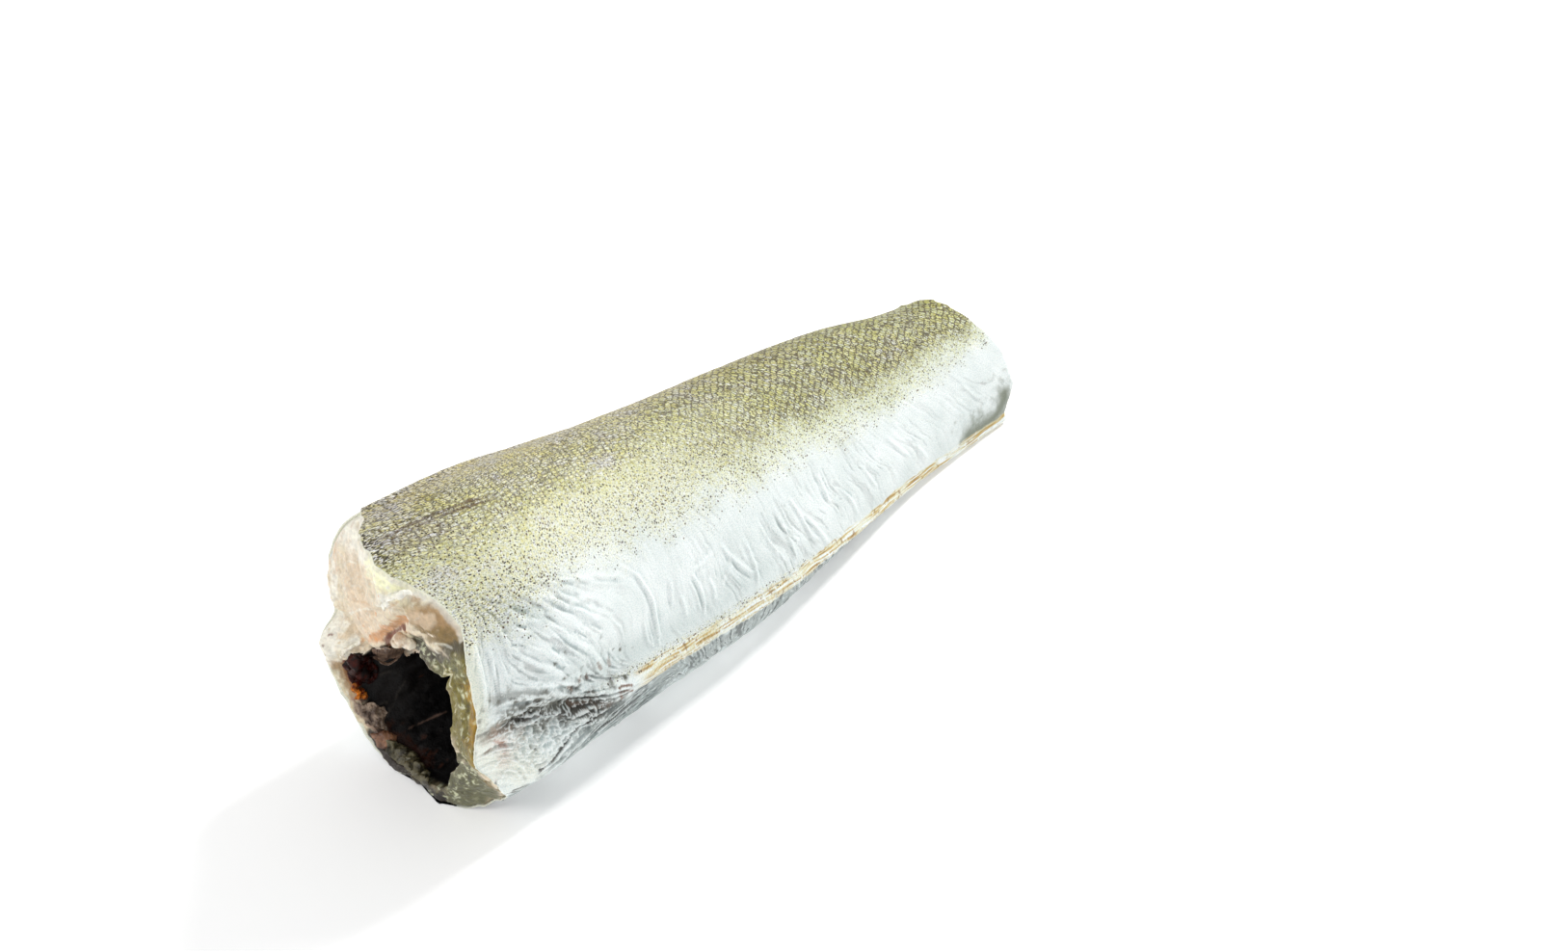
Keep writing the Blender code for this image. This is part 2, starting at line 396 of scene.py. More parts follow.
def wrap(name, points, tint, marks=None, uv=None, facing=None, closed=False):
    """A grid of quads bent to points[row, column], with colours and a UV map."""
    rows, columns = points.shape[:2]
    mesh = bpy.data.meshes.new(name)
    bm = bmesh.new()
    bmesh.ops.create_grid(bm, x_segments=rows - 1, y_segments=columns - 1, size=1)
    bm.to_mesh(mesh)
    flat = np.empty(len(mesh.vertices) * 3)
    mesh.vertices.foreach_get("co", flat)
    flat = flat.reshape(-1, 3)
    row = np.rint((flat[:, 0] + 1) / 2 * (rows - 1)).astype(int)
    column = np.rint((flat[:, 1] + 1) / 2 * (columns - 1)).astype(int)
    mesh.vertices.foreach_set("co", points[row, column].ravel())
    colour_points(mesh, "tint", tint[row, column])
    if marks is not None:
        colour_points(mesh, "marks", marks[row, column])
    if uv is not None:
        corner = np.empty(len(mesh.loops), int)
        mesh.loops.foreach_get("vertex_index", corner)
        layer = mesh.uv_layers.new(name="surface")
        layer.data.foreach_set("uv", uv[row[corner], column[corner]].ravel())
    if facing is not None:
        layer = mesh.attributes.new("facing", "FLOAT_VECTOR", "POINT")
        layer.data.foreach_set("vector", facing[row, column].ravel())
    bm.clear()
    bm.from_mesh(mesh)
    bmesh.ops.remove_doubles(bm, verts=bm.verts, dist=SAME_POINT)
    if closed:
        bmesh.ops.recalc_face_normals(bm, faces=bm.faces)
    bm.to_mesh(mesh)
    bm.free()
    mesh.shade_smooth()
    if facing is not None:
        kept = np.empty(len(mesh.vertices) * 3)
        mesh.attributes["facing"].data.foreach_get("vector", kept)
        mesh.attributes.remove(mesh.attributes["facing"])
        mesh.normals_split_custom_set_from_vertices(kept.reshape(-1, 3).tolist())
    print(name, len(mesh.vertices), "points,", len(mesh.polygons), "faces")
    return new_object(name, mesh)


# %% [markdown]
# ## The skin as a fine grid
#
# The skin is one sheet round the trunk, from the tail cut to the head cut. The grid is
# finest on the wrinkled flank, about 0.2 mm near the head cut, and its seam runs under the
# belly. `along` and `around` measure the sheet in metres as if it lay flat, which keeps
# folds and scales the same size all over it.

# %% The skin as a fine grid
PIECES, PIECE_ROWS = 5, 186      # the sheet is later cut across into pieces
SKIN_ROWS = PIECES * (PIECE_ROWS - 1) + 1
CROWDED = 0.3                    # how much closer the rows lie at the head cut
COLUMNS = ((-150, -20, 69), (-20, 60, 109), (60, 190, 329), (190, 210, 15))  # from, to, steps
EDGE_RAGGED = 0.45 * MM
EDGE_TEARS = 6 * MM              # the length of a tear
EDGE_RING = 40 * MM              # the noise of an edge is read round a ring of this size
HEAD_EDGE_SEED, TAIL_EDGE_SEED = 21, 22

around_degrees = np.concatenate([
    *(np.linspace(first, last, steps + 1)[:-1] for first, last, steps in COLUMNS),
    [COLUMNS[-1][1]]])
share = np.linspace(0, 1, SKIN_ROWS)[:, None]
share = share * (1 + CROWDED - CROWDED * share)
degrees = np.broadcast_to(around_degrees, (SKIN_ROWS, len(around_degrees)))


def ragged_edge(table, degrees, seed):
    """A cut edge of the skin, with the small tears of a blunt knife."""
    turn = np.radians(degrees)
    ring = np.stack([np.cos(turn), np.sin(turn), 0 * turn], axis=-1) * EDGE_RING
    return edge(table, degrees) + EDGE_RAGGED * rough(ring, EDGE_TEARS, seed, 5)


skin_x = (ragged_edge(TAIL_EDGE, degrees, TAIL_EDGE_SEED) * (1 - share)
          + ragged_edge(HEAD_EDGE, degrees, HEAD_EDGE_SEED) * share)
smooth_skin = skin(skin_x, degrees)

step = np.linalg.norm(np.diff(smooth_skin[..., 1:], axis=1), axis=2)
around = np.concatenate([np.zeros((SKIN_ROWS, 1)), np.cumsum(step, axis=1)], axis=1)
middle_column = int(np.argmin(abs(around_degrees - 90)))
around = around - around[:, middle_column:middle_column + 1]
along = skin_x

skin_shown = (grid_normals(smooth_skin) * (CAMERA_PLACE - smooth_skin)).sum(axis=2) > 0
shown_pixels = in_photograph(smooth_skin)[0][skin_shown]
shown_places = np.stack([along, around, degrees], axis=-1)[skin_shown]
print("skin grid:", smooth_skin.shape[:2], "shown:", int(skin_shown.sum()))


def on_skin(pixels):
    """Along, around and degrees of the places on the skin that pixels show."""
    return np.array([shown_places[((shown_pixels - pixel) ** 2).sum(axis=1).argmin()]
                     for pixel in pixels])


def from_pixel(pixel):
    """Distance over the unrolled skin from the place that a pixel shows."""
    place = on_skin([pixel])[0]
    return np.hypot(along - place[0], around - place[1])


# %% [markdown]
# ## Folds of the loose skin
#
# Where the belly is empty the skin hangs loose, and it has gathered in folds round the
# vent and along the base of the anal fin. Each fold that can be told apart is drawn as
# a line on the photograph, then laid on the unrolled skin, where it becomes a rounded
# crest with a groove on either side. A row gives the height and the width in
# millimetres, then the pixels of the line.

# %% Folds that can be told apart
CONTOUR_LINES = (       # fine long creases low on the belly, between the head cut and the vent
    ((510, 832), (540, 822), (566, 806), (590, 788), (612, 768), (634, 750), (656, 733)),
    ((520, 824), (546, 814), (570, 799), (594, 780), (616, 760), (640, 741), (664, 722)),
    ((530, 818), (552, 808), (576, 792), (598, 772), (622, 752), (648, 732)),
    ((560, 815), (584, 798), (606, 780), (628, 761), (650, 744), (672, 727)),
    ((556, 798), (572, 786), (590, 770), (608, 754), (626, 742)),
)
FOLDS = (
    # the long fold behind the vent and its neighbours
    (0.70, 1.0, (635, 597), (655, 592), (666, 605), (676, 622), (682, 645), (688, 671)),
    (0.35, 0.8, (668, 640), (673, 660), (679, 676)),
    (0.50, 0.9, (715, 592), (726, 610), (731, 630), (730, 642)),
    (0.35, 1.0, (733, 598), (740, 610), (743, 625)),
    (0.35, 1.0, (695, 600), (699, 632)),
    (0.30, 0.9, (707, 617), (714, 642)),
    (0.30, 0.8, (714, 601), (723, 618), (728, 638)),
    (-0.45, 0.9, (640, 595), (648, 593), (656, 592), (664, 597)),
    (-0.30, 0.6, (672, 632), (676, 648), (681, 664)),
    (0.30, 0.6, (677, 658), (680, 674)), (0.25, 0.6, (684, 662), (686, 672)),
    # grooves that fan out from the vent over the belly wall
    (-0.55, 1.0, (550, 620), (564, 623), (578, 629), (589, 633), (600, 635)),
    (-0.65, 1.5, (530, 628), (540, 633), (550, 638)),
    (-0.45, 0.8, (567, 611), (573, 617), (582, 622), (591, 628), (604, 630), (616, 637),
     (625, 641)),
    (-0.40, 1.0, (608, 599), (618, 601), (631, 602), (646, 604)),
    (-0.35, 0.8, (583, 604), (590, 605), (596, 607)),
    (-0.35, 0.8, (580, 613), (592, 617), (604, 620)),
    (-0.35, 0.8, (611, 646), (620, 650), (627, 654)),
    (-0.50, 0.8, (553, 647), (564, 648), (573, 653), (582, 660), (591, 668), (602, 674),
     (611, 679), (620, 686), (627, 692), (633, 698)),
    (-0.35, 0.8, (573, 672), (582, 678)), (-0.40, 1.0, (576, 691), (587, 694)),
    (-0.30, 0.8, (527, 670), (538, 669), (547, 670)),
    (-0.40, 0.6, (607, 706), (612, 713)), (-0.40, 0.6, (616, 703), (621, 710)),
    (-0.40, 0.6, (634, 676), (640, 686)), (-0.40, 0.8, (534, 648), (548, 652)),
    (-0.35, 0.8, (518, 654), (528, 657)), (-0.35, 0.8, (557, 711), (564, 710)),
    (-0.35, 0.9, (580, 713), (598, 717)), (-0.40, 0.8, (590, 652), (606, 660), (620, 672)),
    # the crossing folds at the middle of the flank
    (0.45, 1.1, (745, 562), (757, 577), (775, 591), (786, 595)),
    (0.42, 1.0, (770, 557), (780, 578), (786, 597), (785, 614)),
    (0.35, 1.0, (741, 570), (730, 584), (716, 594)),
    (0.30, 1.0, (762, 585), (752, 600), (750, 612)),
    # folds that fan out from the vent to the head cut
    (0.60, 1.5, (537, 626), (562, 622), (585, 627), (610, 637), (628, 643)),
    (0.50, 1.3, (527, 640), (555, 645), (585, 660), (610, 677), (630, 692), (643, 699)),
    (0.40, 1.2, (555, 605), (570, 615), (590, 620), (617, 622)),
    (0.40, 1.2, (570, 604), (587, 602), (615, 599), (640, 602)),
    (0.40, 1.2, (540, 655), (567, 660), (595, 677), (620, 695), (638, 708)),
    (0.35, 1.2, (530, 670), (562, 677), (592, 692), (617, 707), (636, 713)),
    (0.35, 1.2, (542, 692), (575, 695), (605, 707), (631, 718)),
    (0.40, 1.3, (530, 720), (555, 712), (580, 710), (605, 715), (626, 722)),
    (0.50, 1.6, (508, 742), (530, 728), (560, 722), (590, 724), (618, 730)),
    # the cream band of skin along the head cut
    (0.55, 1.4, (487, 648), (495, 680), (504, 710), (506, 748)),
    (0.35, 1.4, (502, 665), (510, 690), (517, 716)),
    # short folds above the fin's base, towards the tail
    (0.35, 1.0, (785, 540), (802, 567), (817, 586)),
    (0.40, 1.0, (802, 530), (817, 555), (825, 575), (823, 590)),
    (0.45, 1.0, (815, 512), (835, 542), (843, 556), (853, 561)),
    (0.35, 1.0, (835, 535), (855, 557), (861, 566)),
    (0.45, 1.0, (847, 490), (856, 510), (861, 523)),
    (0.40, 1.0, (870, 505), (885, 522), (890, 536)),
    (0.30, 1.0, (895, 485), (905, 500), (911, 506)),
    (0.35, 1.0, (917, 452), (935, 467), (946, 476)),
    (0.30, 1.0, (950, 462), (963, 476)),
    (0.25, 1.0, (997, 400), (1018, 416)),
    # the deep crease of the sunken belly wall, from its torn edge to the vent
    (-1.10, 2.0, (497, 764), (522, 757), (545, 747), (570, 738), (600, 738), (622, 736),
     (642, 733)),
    (0.70, 1.4, (560, 752), (590, 748), (612, 750), (634, 744)),
    # long folds low on the belly
    (0.45, 1.2, (585, 792), (610, 768), (632, 748), (655, 730), (672, 718)),
    (0.40, 1.2, (540, 812), (566, 797), (592, 775), (622, 751)),
    # arcs on the swelling below the crease
    (0.35, 0.7, (508, 794), (522, 781), (540, 782), (552, 794), (556, 806)),
    (0.35, 0.7, (512, 803), (525, 791), (538, 792), (546, 802)),
    (0.30, 0.6, (518, 811), (528, 801), (537, 802), (541, 810)),
    # creases beside the skin's cut edge
    (-0.30, 0.6, (490, 654), (497, 676), (503, 700), (507, 722), (508, 746)),
    (-0.25, 0.5, (500, 668), (508, 690), (514, 712), (517, 732)),
    (0.30, 0.6, (494, 670), (499, 696), (502, 720), (502, 748)),
    *((-0.40, 0.5, *line) for line in CONTOUR_LINES),
)
FOLD_STEP = 0.7 * MM        # spacing of the points of a line on the skin
FOLD_SHARPNESS = 0.72
GROOVE_DEPTH, GROOVE_PLACE = 0.28, 1.9      # beside a crest, in heights and widths of it
FOLD_FADE = 0.25            # share of a fold's length over which it dies away


def through(points, spacing):
    """Points at an even spacing on a smooth line through a few points."""
    rows = np.asarray(points, float)
    fine = spline(rows, np.linspace(0, len(rows) - 1, 40 * len(rows)))
    length = np.concatenate([[0], np.cumsum(np.linalg.norm(np.diff(fine, axis=0), axis=1))])
    places = np.linspace(0, length[-1], max(3, int(length[-1] / spacing) + 1))
    return np.stack([np.interp(places, length, fine[:, k]) for k in range(fine.shape[1])], axis=1)


def skin_line(pixels):
    """A smooth line on the unrolled skin through what pixels show."""
    return through(on_skin(pixels)[:, :2], FOLD_STEP)


def to_line(line, reach):
    """Which points of the skin are near a line, how far to which side, and the share along."""
    low, high = line.min(axis=0) - reach, line.max(axis=0) + reach
    near = (along > low[0]) & (along < high[0]) & (around > low[1]) & (around < high[1])
    place = np.stack([along[near], around[near]], axis=-1)
    gap = place[:, None] - line[None]
    distance = np.sqrt((gap ** 2).sum(axis=2))
    nearest = distance.argmin(axis=1)
    picked = np.arange(len(nearest))
    direction = np.gradient(line, axis=0)
    direction /= np.linalg.norm(direction, axis=1, keepdims=True)
    beside = gap[picked, nearest]
    heading = direction[nearest]
    side = np.sign(heading[:, 0] * beside[:, 1] - heading[:, 1] * beside[:, 0])
    return near, distance[picked, nearest] * side, nearest / (len(line) - 1)


fold_height = np.zeros(skin_x.shape)
fold_lines = []
for height, width, *pixels in FOLDS:
    line = skin_line(pixels)
    fold_lines.append(line)
    width = FOLD_SHARPNESS * width * MM
    near, distance, part = to_line(line, 5 * width)
    fade = soft_step(part, -0.02, FOLD_FADE) * soft_step(1 - part, -0.02, FOLD_FADE)
    groove = GROOVE_DEPTH * bump(abs(distance) - GROOVE_PLACE * width, width)
    fold_height[near] += height * MM * fade * (bump(distance, width) - groove)
print("folds:", len(FOLDS), "highest in mm:", round(float(fold_height.max() / MM), 2))

# %% [markdown]
# ## Fine wrinkles, combed along the folds
#
# Between the folds the skin is covered in finer wrinkles that run the same way. They
# come from random noise that is smeared along the direction of the nearest folds, as
# hair is combed: each point takes the mean of the noise on a short walk up and down its
# own direction. Three grades of noise give broad wrinkles, hair-fine ones and a few sharp
# crests.

# %% Directions of the wrinkles
COMB_REACH = 9 * MM
REST_TURN = math.radians(62)    # wrinkles with no fold near: the turn from the trunk's length
REST_PULL = 0.04                # how little that counts beside a fold
STRETCH = 6                     # points of a fold's line from one direction to the next

lead = np.concatenate([line[::STRETCH][:-1] for line in fold_lines])
lead_next = np.concatenate([line[STRETCH::STRETCH] for line in fold_lines])
lead_turn = np.arctan2(*(lead_next - lead).T[::-1])
# a direction counts the same both ways along, so twice its angle is averaged
twice = np.full(skin_x.shape + (2,), [math.cos(2 * REST_TURN), math.sin(2 * REST_TURN)])
twice *= REST_PULL
for place, angle in zip(lead, lead_turn):
    weight = np.exp(-((along - place[0]) ** 2 + (around - place[1]) ** 2) / COMB_REACH ** 2)
    twice[..., 0] += weight * math.cos(2 * angle)
    twice[..., 1] += weight * math.sin(2 * angle)
comb_turn = np.arctan2(twice[..., 1], twice[..., 0]) / 2
comb_along, comb_around = np.cos(comb_turn), np.sin(comb_turn)
print("wrinkle directions from", len(lead), "stretches of fold")


# %% Combing the noise
def blurred(field, times):
    """A grid of values, softened over its neighbours some times."""
    for _ in range(times):
        for axis in (0, 1):
            field = (np.roll(field, 1, axis) + 2 * field + np.roll(field, -1, axis)) / 4
    return field


def read(field, row, column):
    """A grid's values between its points."""
    row = np.clip(row, 0, field.shape[0] - 1.001)
    column = np.clip(column, 0, field.shape[1] - 1.001)
    r, c = row.astype(int), column.astype(int)
    fr, fc = row - r, column - c
    top = field[r, c] * (1 - fc) + field[r, c + 1] * fc
    bottom = field[r + 1, c] * (1 - fc) + field[r + 1, c + 1] * fc
    return top * (1 - fr) + bottom * fr


along_per_row = np.gradient(along, axis=0)
around_per_column = np.gradient(around, axis=1)


def combed(seed, grain, length, pace):
    """Noise of a grain (in softening rounds), smeared over a length along the wrinkles."""
    noise = blurred(np.random.default_rng(seed).standard_normal(skin_x.shape), grain)
    total = noise.copy()
    grid_row, grid_column = np.indices(skin_x.shape).astype(float)
    for way in (1, -1):
        row, column = grid_row.copy(), grid_column.copy()
        head_along, head_around = way * comb_along, way * comb_around
        for _ in range(int(length / pace / 2)):
            here_along = read(comb_along, row, column)
            here_around = read(comb_around, row, column)
            same = np.where(here_along * head_along + here_around * head_around < 0, -1, 1)
            head_along, head_around = here_along * same, here_around * same
            row = row + pace * head_along / read(along_per_row, row, column)
            column = column + pace * head_around / read(around_per_column, row, column)
            total += read(noise, row, column)
    return total / total.std()


# %% Three grades of wrinkles
broad_wrinkles = combed(seed=11, grain=12, length=13 * MM, pace=0.6 * MM)
fine_wrinkles = combed(seed=12, grain=2, length=7 * MM, pace=0.35 * MM)
# a crease is narrow and a crest is broad, so the hollows are drawn deeper than the hills
broad_wrinkles = np.where(broad_wrinkles < 0, 1.3 * broad_wrinkles, 0.8 * broad_wrinkles)
fine_crests = 1 - 2.2 * np.clip(abs(fine_wrinkles), 0, 1) ** 0.7
fine_wrinkles = 0.6 * fine_wrinkles + 0.6 * fine_crests
# here and there the skin stands up in a sharp crest, where a third noise crosses zero
pinch = combed(seed=13, grain=9, length=18 * MM, pace=0.5 * MM)
pinched = bump(pinch, 0.22) * soft_step(rough(smooth_skin, 8 * MM, 14, 2), 0.0, 0.5)
print("combed wrinkles:", broad_wrinkles.shape)

# %% [markdown]
# ## The relief of the skin
#
# The large forms come first: the base of the anal fin stands up as a ridge from the vent
# to the tail, the base of the back fins as a lower one, and the empty belly wall has sunk
# in. The folds and the combed wrinkles are added where the skin is loose. A row of
# `LOOSE_SKIN` gives a pixel, the reach round it, the height of broad and of fine wrinkles
# there, all in millimetres, and how strongly shade is painted into their hollows.

# %% The relief of the skin
FIN_BASE_HEIGHT = 1.5 * MM
FIN_BASE_WIDTH = 2.6 * MM
FIN_BASE_START = 3.0 * MM
BACK_FIN_HEIGHT = 1.2 * MM
# a place, an angle, the reach along the trunk and in degrees round it, and a height
SWELLINGS = (
    (-89.0 * MM, 118, 24.0 * MM, 12, -4.8 * MM),
    (-98.0 * MM, 141, 14.0 * MM, 13, 1.6 * MM),
    (-110.5 * MM, -73, 4.5 * MM, 4.5, -2.4 * MM),
)
LOOSE_SKIN = (
    ((520, 650), 11, 0.11, 0.13, 0.3), ((560, 640), 13, 0.11, 0.14, 0.3),
    ((600, 660), 13, 0.11, 0.15, 0.35), ((600, 700), 12, 0.12, 0.20, 0.5),
    ((545, 700), 12, 0.10, 0.15, 0.35), ((640, 640), 12, 0.05, 0.07, 0.15),
    ((640, 700), 6, 0.10, 0.18, 0.5), ((495, 690), 7, 0.05, 0.10, 0.15),
    ((502, 738), 7, 0.08, 0.12, 0.2),
    ((700, 640), 13, 0.03, 0.07, 0.1), ((760, 600), 13, 0.05, 0.11, 0.2),
    ((820, 560), 14, 0.05, 0.13, 0.25), ((860, 520), 14, 0.05, 0.13, 0.25),
    ((900, 490), 14, 0.05, 0.12, 0.2), ((950, 450), 13, 0.05, 0.10, 0.15),
    ((1000, 410), 12, 0.04, 0.07, 0.1), ((560, 745), 8, 0.28, 0.34, 1.0),
    ((740, 560), 11, 0.05, 0.10, 0.1), ((790, 530), 10, 0.04, 0.09, 0.1),
    ((620, 738), 7, 0.32, 0.36, 0.95), ((525, 770), 7, 0.16, 0.20, 0.25),
    ((530, 790), 9, 0.12, 0.14, 0.1), ((575, 780), 9, 0.20, 0.24, 0.4),
    ((620, 715), 7, 0.20, 0.26, 0.6), ((640, 750), 8, 0.20, 0.22, 0.7),
    ((570, 806), 8, 0.18, 0.20, 0.45), ((600, 775), 8, 0.18, 0.20, 0.45),
    ((700, 702), 6, 0.14, 0.16, 0.6), ((750, 668), 6, 0.12, 0.16, 0.6),
    ((800, 632), 6, 0.12, 0.16, 0.6), ((850, 590), 5, 0.12, 0.14, 0.5),
    ((645, 716), 4, 0.10, 0.20, 0.5),
)
CALM_BROAD, CALM_FINE = 0.02, 0.03      # heights of the wrinkles elsewhere
HIDDEN_BROAD, HIDDEN_FINE = 0.14, 0.08  # and low on the flank that the photograph hides
PINCH_HEIGHT = 1.8                      # of the sharp crests, in heights of broad wrinkles
RUGGED = (              # where the skin is crumpled every way: a pixel, a reach and a strength
    ((540, 750), 6, 0.8), ((570, 745), 6, 0.8), ((600, 741), 6, 0.8), ((562, 770), 7, 0.8),
    ((585, 762), 7, 0.7), ((530, 772), 5, 0.5), ((620, 738), 5, 0.8), ((520, 814), 3, 0.4),
)
RUGGED_HEIGHT = 0.55

# millimetres over the skin from the bases of the fins
degree = np.radians(1) * section(skin_x)[0]
from_fin = turned(degrees, belly_line(skin_x)) * degree
from_back = turned(degrees, BACK_FIN_ANGLE) * degree
behind_vent = 1 / (1 + np.exp(-(skin_x - VENT_PLACE) / FIN_BASE_START))

relief = FIN_BASE_HEIGHT * behind_vent * bump(from_fin, FIN_BASE_WIDTH)
relief += BACK_FIN_HEIGHT * bump(from_back, FIN_BASE_WIDTH)
for place, angle, length, spread, rise in SWELLINGS:
    relief += rise * bump(skin_x - place, length) * bump(turned(degrees, angle), spread)

# how far each point is from the back, 0, to the belly, 1, on its own flank
to_belly = belly_line(skin_x) - BACK_FIN_ANGLE
past_back = turned(degrees, BACK_FIN_ANGLE) % 360
left_flank = past_back <= to_belly
down_flank = np.where(left_flank, past_back / to_belly, (360 - past_back) / (360 - to_belly))

# %% Wrinkles added to the relief
broad_height = np.full(skin_x.shape, CALM_BROAD)
fine_height = np.full(skin_x.shape, CALM_FINE)
# how strongly shade is painted into the hollows, from the last column of LOOSE_SKIN
hollow_shade = np.zeros(skin_x.shape)
for pixel, reach, broad, fine, dark in LOOSE_SKIN:
    weight = bump(from_pixel(pixel), reach * MM)
    broad_height = np.maximum(broad_height, broad * weight)
    fine_height = np.maximum(fine_height, fine * weight)
    hollow_shade = np.maximum(hollow_shade, dark * weight)
hidden_loose = ~left_flank * soft_step(down_flank, 0.45, 0.75)
broad_height = np.maximum(broad_height, HIDDEN_BROAD * hidden_loose)
fine_height = np.maximum(fine_height, HIDDEN_FINE * hidden_loose)
broad_height = blurred(broad_height, 12)
fine_height = blurred(fine_height, 12)
relief += fold_height
relief += MM * (broad_height * broad_wrinkles + fine_height * fine_wrinkles)
pinch_height = PINCH_HEIGHT * blurred(np.maximum(broad_height - 1.5 * CALM_BROAD, 0), 2)
relief += MM * pinch_height * pinched

crumpled = np.zeros(skin_x.shape)
for pixel, reach, strength in RUGGED:
    crumpled = np.maximum(crumpled, strength * bump(from_pixel(pixel), reach * MM))
crumple = 1 - 3.2 * abs(rough(smooth_skin, 2.6 * MM, 15, 3)) ** 0.8
relief += RUGGED_HEIGHT * MM * blurred(crumpled, 12) * crumple
detail = relief - blurred(relief, 7)       # how far each point stands out of its neighbours
print("relief in mm:", [round(float(v / MM), 2) for v in (relief.min(), relief.max())])

# %% [markdown]
# ## The colours of the skin
#
# The back is olive and beige, darker and more golden towards its ridge. The flank is
# silver-white. Between them the colour breaks up into small dark dots that thin out. The
# soft changes are painted on the points of the grid here, and three more values go with
# them for the material to use: how dense the dots are, how strongly the scales show, and
# how many short dark dashes there are.

# %% Colours of the skin
SILVER = srgb(240, 243, 241)
SILVER_SHADE = srgb(208, 216, 213)
OLIVE_BEIGE = srgb(228, 229, 208)
OLIVE = srgb(216, 218, 178)
BACK_GOLD = srgb(216, 200, 154)
BACK_TAIL = srgb(192, 194, 132)
LILAC = srgb(208, 206, 212)
SKIN_EDGE = srgb(240, 238, 222)
# the dark brown of a painted shadow under the low far side
UNDER_SHADOW_BROWN = srgb(44, 28, 20)
CREAM = srgb(238, 238, 220)
# the grey of painted shade in the sunken belly wall
DENT_SHADE = srgb(98, 95, 82)
# the dark colour of painted shade in creases and hollows
CREASE_SHADE = srgb(54, 47, 38)
# painted shade and a painted highlight for the low skin below the fin's band
LOW_SHADE = srgb(120, 130, 128)
LOW_HIGHLIGHT = srgb(222, 230, 230)
FIN_CREAM = srgb(226, 220, 184)
FIN_OCHRE = srgb(200, 168, 100)
FIN_BROWN = srgb(146, 104, 44)
PINK = srgb(216, 188, 172)
ROSE = srgb(176, 112, 92)
RUST = srgb(128, 92, 68)
TAIL_GREY = srgb(104, 110, 88)
SCALE_BROWN = srgb(96, 72, 46)
FLECK_LIGHT = srgb(226, 224, 214)
# the colour of painted highlights on the crests of the wrinkles
CREST_HIGHLIGHT = srgb(248, 252, 250)

# %% Back and flank
# the lower edge of the dark back, as pixels from the head cut to the tail cut
BACK_EDGE = ((478, 652), (515, 644), (545, 610), (600, 576), (640, 556), (700, 522), (760, 490),
             (800, 470), (860, 446), (920, 418), (965, 385), (1005, 350), (1022, 346))
FAR_EDGE_RISE = 0.40            # on the hidden flank the silver reaches higher, by this share
YELLOWISH, GREENISH = [0.95, 0.94, 0.70], [0.86, 0.90, 0.80]


def mixed(base, colour, weight):
    """Lay a colour over painted points by a weight."""
    return base + (colour - base) * np.clip(weight, 0, 1)[..., None]


back_edge = on_skin(BACK_EDGE)
order = np.argsort(back_edge[:, 0])
edge_degrees = blurred(np.interp(skin_x, back_edge[order, 0], back_edge[order, 2]), 40)
edge_share = (edge_degrees - BACK_FIN_ANGLE) / to_belly
edge_share = edge_share * (1 - FAR_EDGE_RISE * ~left_flank * soft_step(down_flank, 0.05, 0.35))
degrees_above = (edge_share - down_flank) * to_belly
ragged = rough(smooth_skin, 16 * MM, 31, 3)
small_ragged = rough(smooth_skin, 3 * MM, 34, 2)
above = degrees_above + 4 * ragged + 3 * small_ragged

tint = mixed(SILVER, SILVER_SHADE, 0.25 + 0.3 * rough(smooth_skin, 9 * MM, 40, 3))
tint = mixed(tint, OLIVE_BEIGE, soft_step(above, -12, 13))
tint = mixed(tint, OLIVE, 0.85 * soft_step(above, 8, 34))
tail_part = soft_step(skin_x, 0, 90 * MM)
rear_part = soft_step(skin_x, -60 * MM, 40 * MM)
tint = mixed(tint, mixed(BACK_GOLD, BACK_TAIL, tail_part), 0.7 * soft_step(above, 40, 80))

patches = rough(smooth_skin, 7 * MM, 44, 3)
on_back = soft_step(above, 4, 24)
tint = mixed(tint, tint * GREENISH, 0.9 * rear_part * soft_step(above, -10, 10))
lilac_part = on_back * (1 - 0.55 * rear_part)
tint = mixed(tint, LILAC, 0.7 * lilac_part * soft_step(patches, 0.15, 0.9))
tint = mixed(tint, tint * YELLOWISH, 0.8 * on_back * soft_step(-patches, 0.1, 0.9))
tint = mixed(tint, CREAM, 0.4 * on_back * (1 - rear_part) * soft_step(small_ragged, -0.2, 0.6))

# %% Dots and scales
DOT_CLUSTERS = (        # where the dots crowd together: a pixel and a reach
    ((465, 612), 4), ((482, 622), 5), ((505, 628), 5), ((520, 622), 4), ((450, 600), 4),
    ((478, 640), 3),
)
dots = soft_step(above, -16, 8)
clusters = np.zeros(skin_x.shape)
for pixel, reach in DOT_CLUSTERS:
    gap = from_pixel(pixel) * (1 + 0.5 * small_ragged)
    clusters = np.maximum(clusters, bump(gap, reach * MM))
dots = np.maximum(dots, 1.15 * clusters)
scales = (0.82 + 0.18 * rear_part) * soft_step(above, 14, 44)
scales = np.maximum(scales, 0.95 * rear_part * soft_step(above, 0, 18))
print("dots on the skin, mean:", round(float(dots.mean()), 2))

# %% [markdown]
# Single things are painted as strokes. A row of `STROKES` gives a colour, a strength, a
# width in millimetres, how ragged the edge is, and the pixels of the stroke. A stroke
# under a millimetre wide has a crisp edge.

